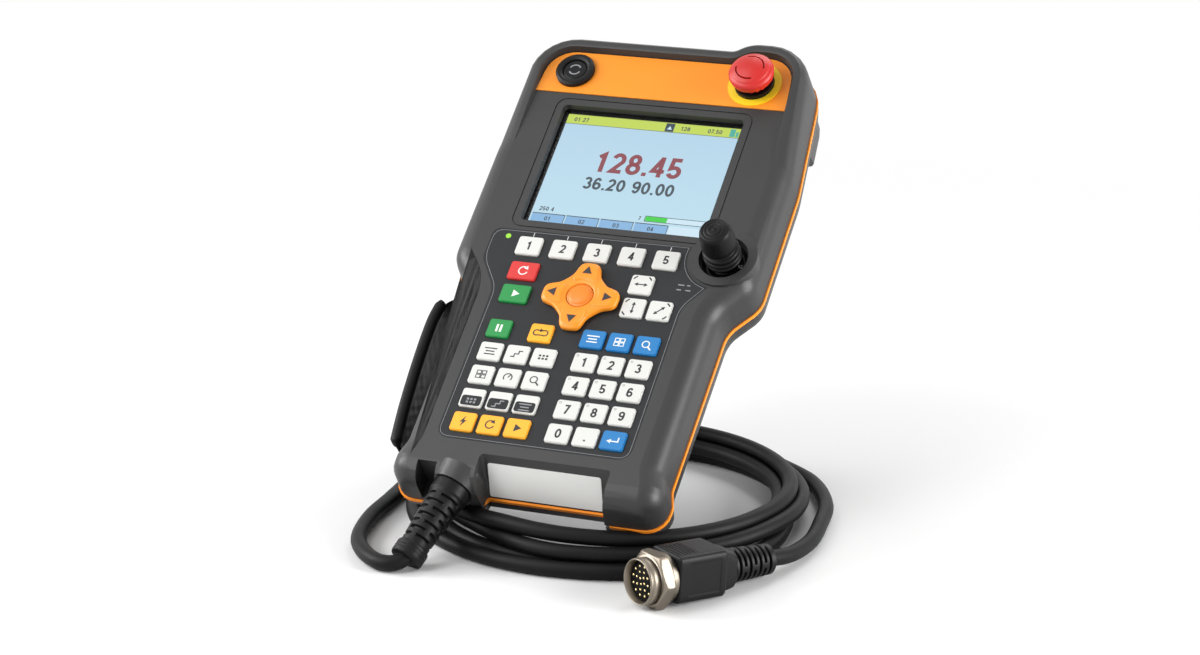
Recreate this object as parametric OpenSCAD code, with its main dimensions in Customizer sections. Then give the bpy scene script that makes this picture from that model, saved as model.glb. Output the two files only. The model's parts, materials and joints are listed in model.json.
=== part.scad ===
// Hand-held teach pendant of an industrial robot. It leans back with its two
// lower corners on the coil of its own cord, whose plug lies in front.
// Lengths are in millimetres. The pendant is drawn flat, with x to the right,
// y up along the face and z out of the face, and posed() leans it back.

/* [Housing] */
// Half width across the shoulders, at the joint between the two shells
shoulder_half_w = 112; // [106:0.5:120]
// Half width of the lower part that the hands hold
grip_half_w = 93; // [88:0.5:98]
// How far the two feet stand out past the grip
foot_out = 4; // [2:0.5:5]
// Top edge of the body above the middle of the face
body_top = 182; // [178:0.5:190]
// Lower edge of the body below the middle of the face
body_low = 201; // [198:0.5:206]
// Depth of the front shell, from the face to the middle of the joint
front_depth = 30; // [28:0.5:36]
// Depth of the back cover behind the joint
back_depth = 18; // [16:0.5:24]
// Roundness of the front edge
edge_r = 14; // [10:0.5:14]
// Height of the rim that guards the top panel
rim_h = 6; // [3:0.5:8]
// Thickness of the orange bumper strip in the joint
gasket_t = 2.6; // [2:0.1:3.4]
// How far the bumper strip stands out of the walls
gasket_out = 0.9; // [0.4:0.1:1.5]
// Thickness of the back cover's rear wall
back_wall = 3.5; // [2.5:0.1:5]
// How far the head of the back cover stands back behind its wall
head_depth = 18; // [12:0.5:22]

/* [Screen] */
// Width of the lit picture of the 6.4 inch display
screen_w = 130.6; // [120:0.1:134]
// Height of the lit picture
screen_h = 98; // [90:0.1:100]
// Middle of the screen, above the middle of the face
screen_y = 69; // [67:0.5:70]
// How far the window lies below the face
glass_sink = 5; // [3.5:0.1:5.2]
// Thickness of the window
glass_t = 1.4; // [1:0.1:1.4]

/* [Keys] */
// Width of a number key
key_w = 16.7; // [14:0.1:17.2]
// Length of a number key
key_l = 14.8; // [13:0.1:16]
// Sideways pitch of the two key blocks
pitch_x = 19.5; // [19.2:0.1:19.8]
// Pitch of their rows
pitch_y = 19.3; // [18.6:0.1:19.6]
// Pitch of the five function keys
soft_pitch = 25.4; // [24:0.1:25.6]
// How far the keys stand out of the overlay
key_rise = 1.7; // [1.2:0.1:2.5]
// Travel of a key
key_travel = 1; // [0.5:0.1:1]
// Gap between a key and its hole in the overlay
key_gap = 0.35; // [0.25:0.05:0.5]
// Thickness of the keypad overlay
overlay_t = 1.6; // [1.2:0.1:2]
// Reach of the four lobes of the direction pad
pad_reach = 27.7; // [25:0.1:28]

/* [Controls] */
// Diameter of the emergency stop's mushroom head
stop_d = 32.5; // [28:0.5:36]
// Travel of the emergency stop
stop_travel = 4; // [2:0.5:4]
// Diameter of the yellow disc under it
stop_disc_d = 39; // [36:0.5:42]
// Diameter of the round push button's black bezel
button_bezel_d = 28.6; // [26:0.2:30]
// Travel of the round push button
button_travel = 2; // [1:0.5:2.5]
// Diameter of the joystick's rubber cap
stick_d = 22; // [18:0.5:24]
// Height of the joystick above the face
stick_h = 33; // [26:0.5:36]
// Diameter of the raised collar round the joystick
collar_d = 47.6; // [44:0.2:49]

/* [Cord] */
// Diameter of the cord
cord_d = 10.8; // [9:0.1:11]
// Radius of the coil, to the middle of its outermost turn
coil_r = 134; // [128:0.5:136]
// Spread of the coil's turns side by side
coil_step = 14.4; // [12:0.1:16]
// Length of the strain relief boot on the pendant
boot_len = 52; // [44:0.5:56]

/* [Connector] */
// Outer diameter of the metal shell
shell_d = 29.5; // [27:0.5:29.5]
// Inner diameter of the metal shell
shell_bore = 25.6; // [24:0.1:26.4]
// Width across the flats of the coupling nut
nut_flats = 32; // [31:0.5:32.5]
// Radial running clearance of the nut on the shell
nut_gap = 0.08; // [0.05:0.01:0.1]
// Width of the square backshell
backshell_w = 29; // [27:0.5:31]

/* [Hidden] */
$fn = 48;

// Pose: the face leans back by this angle from flat, with its middle here
face_lean = 38.45;
lean_y = 157;
lean_z = 177;

// Colours
charcoal = [0.20, 0.20, 0.205];
orange = [0.96, 0.50, 0.05];
slate = [0.23, 0.24, 0.26];
white = [0.90, 0.90, 0.88];
black = [0.04, 0.04, 0.045];
nickel = [0.75, 0.73, 0.70];
green = [0.05, 0.55, 0.25];
blue = [0.10, 0.45, 0.72];
amber = [0.98, 0.72, 0.15];
red = [0.80, 0.15, 0.13];

// Levels, measured out of the face
seam_z = -front_depth;
shell_low = seam_z + gasket_t / 2;
cover_high = seam_z - gasket_t / 2;
back_z = seam_z - back_depth;
ledge_z = -glass_sink - glass_t;
inner_back_z = back_z + back_wall;

// Places on the face
stop_at = [66, 153];
button_at = [-70, 151];
stick_at = [shoulder_half_w - 25.6, 1.5];
pad_at = [-3, -45];
led_at = [-72.8, 1.5];
// From the middle soft key to the joystick, between centres
soft_gap = 90;
soft_at = [stick_at.x - soft_gap - 2 * soft_pitch, -6];
left_block_at = [-53, -96.3];
right_block_at = [15.7, -96.3];
panel_y = 132;
screen_x = -1;
gland_at = [-46.5, -186, -13];
gland_turn = 13.4;

// Key sizes that differ from a number key
soft_key = [18, 15.4];
start_key = [21, 15];
axis_key = [16.3, 15.8];
key_corner = 1.8;
flange = 0.7;
flange_t = 1.2;

// ---------- outlines, lofts and sweeps ----------

function unit(v) = v / norm(v);
function cross2(a, b) = a.x * b.y - a.y * b.x;
function mix(a, b, t) = a + (b - a) * t;
function clamp01(t) = min(1, max(0, t));
function ease(t) = let (u = clamp01(t)) u * u * (3 - 2 * u);

// Corners [x, y, radius] of a closed outline, moved inwards by d. The outline
// runs anticlockwise, so outer corners lose radius and inner corners gain it.
function inset_corners(c, d) =
    let (n = len(c))
    [for (i = [0:n - 1])
        let (p = c[(i + n - 1) % n], q = c[i], s = c[(i + 1) % n],
             a = unit([q.x - p.x, q.y - p.y]), b = unit([s.x - q.x, s.y - q.y]),
             na = [-a.y, a.x], nb = [-b.y, b.x], m = (na + nb) / (1 + na * nb),
             side = cross2(a, b) >= 0 ? 1 : -1)
        [q.x + d * m.x, q.y + d * m.y, max(0.4, q[2] - side * d)]];

// Points of the arc that rounds one corner
function corner_arc(p, q, s, r, n) =
    let (a = unit([q.x - p.x, q.y - p.y]), b = unit([s.x - q.x, s.y - q.y]),
         turn = acos(a * b), side = cross2(a, b) >= 0 ? 1 : -1,
         start = [q.x, q.y] - a * r * tan(turn / 2),
         centre = start + side * [-a.y, a.x] * r, v = start - centre)
    [for (k = [0:n])
        let (g = side * turn * k / n)
        [centre.x + v.x * cos(g) - v.y * sin(g), centre.y + v.x * sin(g) + v.y * cos(g)]];

// Rounded outline of a corner list, with n steps in every corner
function outline(c, n = 6) =
    let (m = len(c))
    [for (i = [0:m - 1]) each corner_arc(c[(i + m - 1) % m], c[i], c[(i + 1) % m], c[i][2], n)];

function box_corners(x0, y0, x1, y1, r) =
    [[x0, y0, r], [x1, y0, r], [x1, y1, r], [x0, y1, r]];

// Solid through a stack of rings with equal point counts, lowest ring first
module loft(rings) {
    n = len(rings[0]);
    top = len(rings) - 1;
    sides = [for (j = [0:top - 1], i = [0:n - 1])
        let (a = j * n + i, b = j * n + (i + 1) % n)
        each [[a, a + n, b + n], [a, b + n, b]]];
    base_cap = [for (i = [0:n - 1]) i];
    top_cap = [for (i = [0:n - 1]) top * n + n - 1 - i];
    polyhedron([for (r = rings) each r], concat([base_cap, top_cap], sides), convexity = 8);
}

// Upright prism of a corner list, between two levels
module prism(c, z0, z1, n = 6)
    translate([0, 0, z0]) linear_extrude(z1 - z0) polygon(outline(c, n));

// Round tube swept along a smooth curve through the route's points. The first
// and last points only steer the ends.
function curve_point(p, i, t) =
    let (a = p[i - 1], b = p[i], c = p[i + 1], d = p[i + 2])
    0.5 * (2 * b + (c - a) * t + (2 * a - 5 * b + 4 * c - d) * t * t
           + (3 * b - a - 3 * c + d) * t * t * t);
function curve_points(p, n) =
    [for (i = [1:len(p) - 3], k = [0:n - 1]) curve_point(p, i, k / n), p[len(p) - 2]];
function tangent(c, i) = unit(c[min(i + 1, len(c) - 1)] - c[max(i - 1, 0)]);
module cord_tube(route, n, first_dir, last_dir, sides = 10) {
    c = curve_points(route, n);
    last = len(c) - 1;
    loft([for (i = [0:last])
        let (t = i == 0 ? unit(first_dir) : i == last ? unit(last_dir) : tangent(c, i),
             u = unit(cross(t, [0, 0, 1])), v = cross(u, t))
        [for (k = [0:sides - 1])
            let (g = 360 * k / sides + 180 / sides)
            c[i] + cord_d / 2 * (u * cos(g) + v * sin(g))]]);
}

// ---------- placing ----------

module posed()
    translate([0, lean_y, lean_z]) rotate([face_lean, 0, 0]) children();

function posed_point(p) =
    [p.x, lean_y + p.y * cos(face_lean) - p.z * sin(face_lean),
     lean_z + p.y * sin(face_lean) + p.z * cos(face_lean)];
function posed_dir(p) = posed_point(p) - posed_point([0, 0, 0]);

// ---------- housing ----------

// Outline of both shells: broad shoulders, a waist, a grip with two corner
// feet, and a round bump over the emergency stop
waist_low = -40;
waist_high = -17;
bump_r = 34;
foot_high = -181;
ankle = -169;
shell_corners = [
    [-grip_half_w - foot_out, -body_low, 15], [grip_half_w + foot_out, -body_low, 15],
    [grip_half_w + foot_out, foot_high, 8], [grip_half_w, ankle, 14],
    [grip_half_w + 1, waist_low, 26], [shoulder_half_w, waist_high, 22],
    [shoulder_half_w, 80, 120], [shoulder_half_w - 11, body_top + 8, bump_r],
    [stop_at.x - 13, body_top + 8, 26], [stop_at.x - 23, body_top, 5],
    [-shoulder_half_w + 8, body_top, 33], [-shoulder_half_w, 80, 120],
    [-shoulder_half_w, waist_high, 22], [-grip_half_w - 1, waist_low, 26],
    [-grip_half_w, ankle, 14], [-grip_half_w - foot_out, foot_high, 8]];

// Recess of the lower wall between the two feet, where the bare plate lies
recess_left = -31;
recess_right = 56;
recess_lift = 8;
recess_y = -body_low + recess_lift;
recess_draft = 16;
recess_r = 2.5;

// Section of the plain front edge and of the guard rim: [inset, level]
edge_section = [for (a = [0:18:90]) [edge_r * (1 - cos(a)) + 0.8, -edge_r * (1 - sin(a))]];
rim_section = [[0.8, -7], [1.4, rim_h - 6], [3, rim_h - 2.2], [5.4, rim_h - 0.3],
               [8.6, rim_h], [10.6, rim_h - 0.6]];
rim_foot = 12.2;
face_inset = edge_r + 1.2;

// How much of the rim there is at height y: it fades out beside the screen
function rim_share(y) = ease((y - 100) / 42);

function skin_ring(plain, rim) =
    let (a = outline(inset_corners(shell_corners, plain[0])),
         b = outline(inset_corners(shell_corners, rim[0])))
    [for (i = [0:len(a) - 1])
        let (s = rim_share(a[i].y), p = mix(a[i], b[i], s))
        [p.x, p.y, mix(plain[1], rim[1], s)]];

module front_skin()
    loft(concat(
        [skin_ring([0, shell_low], [0, shell_low])],
        [for (k = [0:len(edge_section) - 1]) skin_ring(edge_section[k], rim_section[k])],
        [skin_ring([face_inset, 0], [rim_foot, 0])]));

// Slanting recess of the lower wall, wider at the face than at the joint
module lower_recess(z0, z1) {
    function level_ring(z) =
        let (t = (z - shell_low) / -shell_low,
             x0 = recess_left - 2 * t, x1 = recess_right + 4 * t,
             y = recess_y + 0.8 + recess_draft * t)
        [for (p = outline(box_corners(x0, -body_low - 60, x1, y, recess_r), 4)) [p.x, p.y, z]];
    loft([level_ring(z0), level_ring(z1)]);
}

// Hollow shared by the two shells
cavity_low = -168;
module cavity(inset, z0, z1)
    intersection() {
        prism(inset_corners(shell_corners, inset), z0, z1, 4);
        translate([-200, cavity_low, z0 - 1]) cube([400, 400, z1 - z0 + 2]);
    }

// Screws that hold the back cover to the pillars of the front shell
screw_places = [for (s = [-1, 1]) each
    [[s * (shoulder_half_w - 15), 116], [s * (shoulder_half_w - 13), 34],
     [s * (grip_half_w - 4), -26], [s * (grip_half_w - 15), -152]]];
pillar_r = 5;
pillar_top = 5.8;
screw_r = 1.75;
screw_head_r = 3.4;
screw_sink = 4;

// Opening over the screen, and the rebate that takes the window from behind
opening = [screen_w + 6.4, screen_h + 6.6];
rebate = 2.2;
groove_out = 6;
groove_w = 0.9;
function screen_box(grow, r) =
    box_corners(screen_x - opening.x / 2 - grow, screen_y - opening.y / 2 - grow,
                screen_x + opening.x / 2 + grow, screen_y + opening.y / 2 + grow, r);

// Keypad overlay: follows the waist and is cut back round the joystick
overlay_low_x = grip_half_w - 23.5;
overlay_high_x = shoulder_half_w - 26.7;
overlay_corners = [
    [-overlay_low_x, -167.3, 9], [overlay_low_x, -167.3, 9], [overlay_low_x - 0.5, -43, 22],
    [overlay_high_x, -19, 12], [overlay_high_x, 7.8, 6], [-overlay_high_x, 7.8, 6],
    [-overlay_high_x, -19, 12], [-overlay_low_x, -43, 22]];
overlay_clear = collar_d / 2 + 2;
overlay_lip = 2.2;
module overlay_shape(inset, z0, z1)
    difference() {
        prism(inset_corners(overlay_corners, inset), z0, z1);
        translate([stick_at.x, stick_at.y, z0 - 1])
            cylinder(r = overlay_clear + inset, h = z1 - z0 + 2);
        translate([stick_at.x, stick_at.y - 16, z0 - 1]) cube([40, 60, z1 - z0 + 2]);
    }

// Bores of the panel-mounted controls
stop_bore_r = 11.2;
button_bore_r = 11.2;
stick_bore_r = 17.3;
collar_h = 1.6;

// Boss that the strain relief screws into
gland_r = 15;
gland_len = 12;
gland_bore_r = 9.5;
relief_collar_r = 13.4;
relief_seat = 0.6;
module at_gland()
    translate(gland_at) rotate([0, 0, -gland_turn]) rotate([90, 0, 0]) children();

module front_housing() color(charcoal) posed() difference() {
    union() {
        difference() {
            front_skin();
            lower_recess(shell_low - 2, 2);
            // Notch between the gland and the left foot
            translate([-75, -body_low - 20, -26]) cube([14, 34, 40]);
            cavity(5, shell_low - 1, -edge_r);
            cavity(face_inset, -edge_r - 0.01, ledge_z);
        }
        for (p = screw_places)
            translate([p.x, p.y, shell_low]) cylinder(r = pillar_r, h = -shell_low - pillar_top);
        translate([stick_at.x, stick_at.y, -edge_r - 4])
            cylinder(r = collar_d / 2, h = edge_r + 4 + collar_h);
        at_gland() cylinder(r1 = gland_r + 2, r2 = gland_r, h = gland_len);
    }
    prism(screen_box(0, 3), ledge_z - 1, 1, 4);
    prism(screen_box(rebate, 3), ledge_z - 1, -glass_sink, 4);
    difference() {
        prism(screen_box(groove_out, 8), -0.7, 1, 4);
        prism(screen_box(groove_out - groove_w, 7), -1, 2, 4);
    }
    overlay_shape(-0.1, -overlay_t, 1);
    overlay_shape(overlay_lip, ledge_z - 1, 1);
    translate([stop_at.x, stop_at.y, -20]) cylinder(r = stop_bore_r, h = 30);
    translate([button_at.x, button_at.y, -20]) cylinder(r = button_bore_r, h = 30);
    translate([stick_at.x, stick_at.y, -40]) cylinder(r = stick_bore_r, h = 50);
    for (p = screw_places)
        translate([p.x, p.y, shell_low - 1]) cylinder(r = screw_r, h = 11);
    at_gland() {
        translate([0, 0, -1]) cylinder(r = gland_bore_r, h = gland_len + 2);
        translate([0, 0, gland_len - relief_seat]) cylinder(r = relief_collar_r + 0.5, h = 14);
    }
}

// Back cover: rounded tray with a head behind the top controls, a sloping
// lower end, and two long slots for the enabling levers
cover_edge_r = 10;
cover_section = [for (a = [0:22.5:90])
    [cover_edge_r * (1 - sin(a)), back_z + cover_edge_r * (1 - cos(a))]];
head_low = 131;
head_window = 168;
stop_block = 28;
head_z = back_z - head_depth;
head_section = [[9, head_z], [5.5, head_z + 2], [3.4, head_z + 6], [3, back_z + 9]];

// Everything above a slanting line across the back, where the head ends
module head_side(y)
    rotate([90, 0, 90]) translate([0, 0, -150]) linear_extrude(300)
        polygon([[y + 6, head_z - 5], [300, head_z - 5], [300, seam_z], [y - 4, seam_z]]);
bevel_start = -166;
bevel_rise = 12;

lever_x = grip_half_w - 17;
lever_z = -41.5;
lever_reach = 20;
lever_y0 = -112;
lever_y1 = -34;
lever_out = 6;
lever_back = 4.5;
slot_gap = 2.5;

module lug(x, y) difference() {
    translate([x - 4, y, inner_back_z - 0.5]) cube([8, 5, 7]);
    translate([x, y - 1, lever_z]) rotate([-90, 0, 0]) cylinder(r = 2.05, h = 7);
}

module cover_skin()
    loft(concat(
        [for (s = cover_section)
            [for (p = outline(inset_corners(shell_corners, s[0] + 0.4))) [p.x, p.y, s[1]]]],
        [[for (p = outline(inset_corners(shell_corners, 0))) [p.x, p.y, cover_high]]]));

module back_cover() color(charcoal) posed() difference() {
    union() {
        difference() {
            cover_skin();
            cavity(5, inner_back_z, cover_high + 1);
            // Opening into the head
            translate([-head_window / 2, stop_at.y - stop_block / 2 - 1, back_z - 1])
                cube([head_window, stop_block + 2, back_wall + 2]);
        }
        for (p = screw_places)
            translate([p.x, p.y, inner_back_z - 1]) cylinder(r = pillar_r, h = cover_high - inner_back_z + 1);
        for (s = [-1, 1]) {
            lug(s * lever_x, lever_y0 - 6.5);
            lug(s * lever_x, lever_y1 + 1.5);
        }
        for (p = board_posts)
            translate([p.x, p.y, inner_back_z - 0.5]) cylinder(r = 3.5, h = board_z - inner_back_z + 0.5);
    }
    // Sloping lower end
    translate([0, bevel_start, back_z]) rotate([-atan(bevel_rise / (body_low + bevel_start)), 0, 0])
        translate([-200, -80, -40]) cube([400, 80, 40]);
    lower_recess_flat();
    for (p = screw_places) translate([p.x, p.y, head_z]) {
        cylinder(r = screw_r + 0.25, h = 60);
        cylinder(r = screw_head_r + 0.3, h = head_depth + screw_sink);
    }
    for (s = [-1, 1])
        mirror([s > 0 ? 0 : 1, 0, 0])
            translate([lever_x - lever_reach - slot_gap, lever_y0 - 1, back_z - 1])
                cube([lever_reach + slot_gap + lever_back, lever_y1 - lever_y0 + 2, back_wall + 2]);
}

// Head: hollow cap behind the top controls, seated over the back cover
module head_cover() color(charcoal) posed() difference() {
    intersection() {
        loft([for (k = head_section)
            [for (p = outline(inset_corners(shell_corners, k[0]))) [p.x, p.y, k[1]]]]);
        head_side(head_low);
    }
    cover_skin();
    intersection() {
        prism(inset_corners(shell_corners, 12), head_z + back_wall, back_z + 1, 4);
        head_side(head_low + 4);
    }
}

module lower_recess_flat()
    translate([recess_left, -body_low - 20, back_z - 1])
        cube([recess_right - recess_left, 20 + recess_lift, back_depth + 3]);

// Bumper strip round the joint, with a step up over the recess
gasket_corners = concat(
    [shell_corners[0], [recess_left - 4, -body_low, 3], [recess_left + 1, recess_y, 3],
     [recess_right - 1, recess_y, 3], [recess_right + 4, -body_low, 3]],
    [for (i = [1:len(shell_corners) - 1]) shell_corners[i]]);
module seam_gasket() color(orange) posed() difference() {
    prism(inset_corners(gasket_corners, -gasket_out), cover_high, shell_low);
    prism(inset_corners(gasket_corners, 2.4), cover_high - 1, shell_low + 1);
}

// Orange panel across the top, inside the rim
panel_t = 0.8;
module top_panel() color(orange) posed() difference() {
    intersection() {
        prism(inset_corners(shell_corners, rim_foot + 0.6), 0, panel_t);
        translate([-150, panel_y, -1]) cube([300, 100, 4]);
    }
    translate([stop_at.x, stop_at.y, -1]) cylinder(r = stop_bore_r, h = 4);
    translate([button_at.x, button_at.y, -1]) cylinder(r = button_bore_r, h = 4);
}

// ---------- screen and boards ----------

module display_window() color([0.65, 0.8, 0.88]) posed()
    prism(screen_box(rebate - 0.1, 3), ledge_z, -glass_sink, 4);

display_t = 7.5;
module display_module() color([0.55, 0.58, 0.6]) posed() difference() {
    prism(screen_box(rebate + 4, 2), ledge_z - display_t, ledge_z, 2);
    // Corner cut back round the joystick's collar
    translate([stick_at.x, stick_at.y, ledge_z - display_t - 1])
        cylinder(r = collar_d / 2 + 0.5, h = display_t + 2);
}

board_z = -33;
board_t = 1.6;
board_w = 104;
board_y0 = -66;
board_y1 = 106;
board_posts = [for (s = [-1, 1], y = [board_y0 + 6, board_y1 - 6]) [s * (board_w / 2 - 6), y]];
module main_board() color([0.05, 0.35, 0.2]) posed() {
    prism(box_corners(-board_w / 2, board_y0, board_w / 2, board_y1, 2), board_z, board_z + board_t, 2);
    // Processor heat spreader, memory and board-to-board connectors
    translate([-20, 10, board_z + board_t]) cube([36, 36, 4]);
    for (k = [0:3]) translate([board_w / 4, 4 + 12 * k, board_z + board_t]) cube([18, 8, 1.4]);
    for (y = [board_y0 + 12, board_y1 - 22]) translate([-34, y, board_z + board_t]) cube([60, 7, 6]);
}

// Circuit board under the keys, with a dome for every key
key_board_z = ledge_z;
dome_r = 4;
dome_h = 0.8;
module key_board() color([0.08, 0.3, 0.18]) posed() {
    overlay_shape(0.8, key_board_z - 1.6, key_board_z);
    for (p = all_key_places)
        translate([p.x, p.y, key_board_z]) cylinder(r = dome_r, h = dome_h, $fn = 24);
}

module status_led() color([0.45, 0.9, 0.2]) posed()
    translate([led_at.x, led_at.y, key_board_z]) {
        cylinder(r = 2.6, h = -key_board_z - overlay_t - 0.1);
        cylinder(r = 1.9, h = -key_board_z + 0.3);
    }

// ---------- keypad ----------

soft_places = [for (k = [0:4]) soft_at + [soft_pitch * k, 0]];
start_places = [[-51.6, -27.5], [-51.3, -47.1]];
square_places = [[-53, -76.9], [-22.2, -76.9]];
// The axis keys keep their distance from the right edge of the grip
axis_x = grip_half_w - 57.2;
axis_places = [[axis_x, -28.4], [axis_x, -48.0], [axis_x + 19.1, -48.0]];
function block_row(at, row) = [for (k = [0:2]) at + [pitch_x * k, -pitch_y * row]];
blue_places = block_row(right_block_at, -1);
left_places = [for (r = [0:3]) each block_row(left_block_at, r)];
right_places = [for (r = [0:3]) each block_row(right_block_at, r)];
all_key_places = concat(soft_places, start_places, square_places, axis_places, blue_places,
                        left_places, right_places);

module key_box(at, size, grow, z0, z1)
    translate([at.x, at.y, 0])
        prism(box_corners(-size.x / 2 - grow, -size.y / 2 - grow,
                          size.x / 2 + grow, size.y / 2 + grow, key_corner), z0, z1, 3);

// One key: cap with a bevelled top, retaining flange and the nub on the dome
module key(at, size) {
    flange_top = -overlay_t - 0.3;
    nub_z = key_board_z + dome_h + key_travel + 0.2;
    key_box(at, size, 0, flange_top - flange_t, key_rise - 0.5);
    key_box(at, size, -0.5, key_rise - 0.6, key_rise);
    key_box(at, size, flange, flange_top - flange_t, flange_top);
    translate([at.x, at.y, nub_z]) cylinder(r = 2.5, h = 3, $fn = 24);
}

module key_hole(at, size) key_box(at, size, key_gap, -overlay_t - 1, 1);

pad_shaft_r = 6;
module keypad_overlay() color(slate) posed() difference() {
    overlay_shape(0, -overlay_t, 0);
    for (p = soft_places) key_hole(p, soft_key);
    for (p = start_places) key_hole(p, start_key);
    for (p = axis_places) key_hole(p, axis_key);
    for (p = concat(square_places, blue_places, left_places, right_places))
        key_hole(p, [key_w, key_l]);
    translate([pad_at.x, pad_at.y, -5]) cylinder(r = pad_shaft_r + 1.6, h = 10);
    translate([led_at.x, led_at.y, -5]) cylinder(r = 2, h = 10);
}

module soft_keycap(k) color(white) posed() key(soft_places[k], soft_key);
module start_keycap(k, tint) color(tint) posed() key(start_places[k], start_key);
module square_keycap(k, tint) color(tint) posed() key(square_places[k], [key_w, key_l]);
module axis_keycap(k) color(white) posed() key(axis_places[k], axis_key);
module key_row(at, row, tint) color(tint) posed()
    for (p = block_row(at, row)) key(p, [key_w, key_l]);

// Direction pad: four lobes round a centre button, rocking on a cross pivot
pad_z = 1.5;
pad_t = 4.6;
lobe_r = 10.4;
pad_centre_r = 9.4;
pad_pivot_z = -4.3;
module dpad() color(orange) posed() translate([pad_at.x, pad_at.y, 0]) difference() {
    union() {
        for (a = [0:90:270]) rotate([0, 0, a]) {
            translate([pad_reach - lobe_r, 0, pad_z]) cylinder(r = lobe_r, h = pad_t);
            translate([pad_reach - lobe_r, 0, pad_z]) cylinder(r = lobe_r - 1, h = pad_t + 0.5);
        }
        translate([0, 0, pad_z]) cylinder(r = 16, h = pad_t);
        translate([0, 0, -3]) cylinder(r = pad_shaft_r, h = pad_z + 4);
    }
    translate([0, 0, pad_z + 1.4]) cylinder(r = pad_centre_r + 0.4, h = 10);
    translate([0, 0, -1.6]) cylinder(r = 3.4, h = 10);
}
module dpad_centre() color([0.85, 0.42, 0.05]) posed() translate([pad_at.x, pad_at.y, 0]) {
    translate([0, 0, pad_z + 2.6]) cylinder(r = pad_centre_r, h = 2.6);
    translate([0, 0, pad_z + 5.1]) cylinder(r = pad_centre_r - 1, h = 0.5);
    translate([0, 0, -0.2]) cylinder(r = 3, h = pad_z + 3);
}
module dpad_pivot() color(nickel) posed() translate([pad_at.x, pad_at.y, 0]) {
    translate([0, 0, -5.2]) cylinder(r = 4, h = 1.8);
    translate([0, 0, key_board_z + 0.3]) cylinder(r = 5.8, h = 1);
    for (a = [0, 90]) rotate([0, 0, a]) translate([0, 0, pad_pivot_z]) rotate([0, 90, 0])
        cylinder(r = 0.7, h = 14, center = true);
}

// ---------- emergency stop and round button ----------

stop_collar_r = 14.4;
stop_collar_h = 3.4;
stop_skirt_r = 12.4;
stop_shaft_r = 4.5;
disc_t = 0.8;
disc_z = panel_t;
module estop_ring() color([0.98, 0.85, 0.05]) posed() translate([stop_at.x, stop_at.y, disc_z])
    difference() {
        cylinder(r = stop_disc_d / 2, h = disc_t);
        translate([0, 0, -1]) cylinder(r = stop_bore_r, h = 3);
    }

// Collar, threaded barrel, lock nut and contact block
module estop_body() color(black) posed() translate([stop_at.x, stop_at.y, 0]) difference() {
    union() {
        translate([0, 0, disc_z + disc_t]) cylinder(r = stop_collar_r, h = stop_collar_h);
        translate([0, 0, -24]) cylinder(r = stop_bore_r - 0.1, h = 27);
        translate([0, 0, ledge_z - 5]) cylinder(r = 14.5, h = 5, $fn = 6);
        translate([-stop_block / 2, -stop_block / 2, back_z - 2]) cube([stop_block, stop_block, 27]);
    }
    translate([0, 0, disc_z + disc_t + 0.1]) cylinder(r = stop_skirt_r + 0.35, h = 20);
    translate([0, 0, -30]) cylinder(r = stop_shaft_r + 0.3, h = 40);
}
module estop_plunger() color([0.3, 0.3, 0.3]) posed() translate([stop_at.x, stop_at.y, 0]) {
    translate([0, 0, -25]) cylinder(r = stop_shaft_r, h = 41);
}

// Mushroom head with a domed top, two arrow recesses and a ribbed skirt
stop_top = 22;
skirt_z = disc_z + disc_t + stop_travel + 0.7;
module estop_head() color(red) posed() translate([stop_at.x, stop_at.y, 0]) difference() {
    union() {
        rotate_extrude() polygon(concat(
            [[0, 9.4], [13, 9.4], [stop_d / 2 - 0.8, 10.6]],
            [for (a = [0:15:75]) [stop_d / 2 - 3.4 + 3.4 * cos(a), 14.2 + 3.4 * sin(a)]],
            [for (k = [0:5]) let (r = (stop_d / 2 - 3.4) * (1 - k / 5))
                [r, stop_top - 3.4 * pow(r / (stop_d / 2 - 3.4), 2)]]));
        translate([0, 0, skirt_z]) cylinder(r = stop_skirt_r - 1.4, h = 4);
        for (a = [0:20:340]) rotate([0, 0, a])
            translate([stop_skirt_r - 1.9, -1, skirt_z]) cube([1.8, 2, 4]);
    }
    translate([0, 0, 5]) cylinder(r = stop_shaft_r + 0.06, h = 11.3);
    for (a = [0, 180]) rotate([0, 0, a]) intersection() {
        difference() {
            translate([0, 0, 18]) cylinder(r = 10.6, h = 6);
            translate([0, 0, 17]) cylinder(r = 9.4, h = 8);
        }
        translate([0, 0, 17]) linear_extrude(8)
            polygon([[0, 0], [20, 0], [20, 20], [-8, 20]]);
    }
}

button_cap_r = 9;
bezel_h = 4;
module button_bezel() color(black) posed() translate([button_at.x, button_at.y, 0]) difference() {
    union() {
        rotate_extrude() polygon([[0, panel_t], [button_bezel_d / 2, panel_t],
            [button_bezel_d / 2, panel_t + bezel_h - 1.2], [button_bezel_d / 2 - 1.6, panel_t + bezel_h],
            [0, panel_t + bezel_h]]);
        translate([0, 0, -22]) cylinder(r = button_bore_r - 0.1, h = 24);
        translate([0, 0, ledge_z - 4]) cylinder(r = 14.5, h = 4, $fn = 6);
    }
    translate([0, 0, -16]) cylinder(r = button_cap_r + 0.35, h = 30);
    translate([0, 0, panel_t + bezel_h - 1.2]) cylinder(r1 = button_cap_r, r2 = button_cap_r + 2.6, h = 1.3);
}
module button_cap() color([0.16, 0.16, 0.17]) posed() translate([button_at.x, button_at.y, 0]) {
    translate([0, 0, -12]) cylinder(r = button_cap_r, h = panel_t + 14);
    translate([0, 0, panel_t + 1.9]) cylinder(r1 = button_cap_r, r2 = button_cap_r - 1.2, h = 0.8);
}

// ---------- joystick ----------

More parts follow.
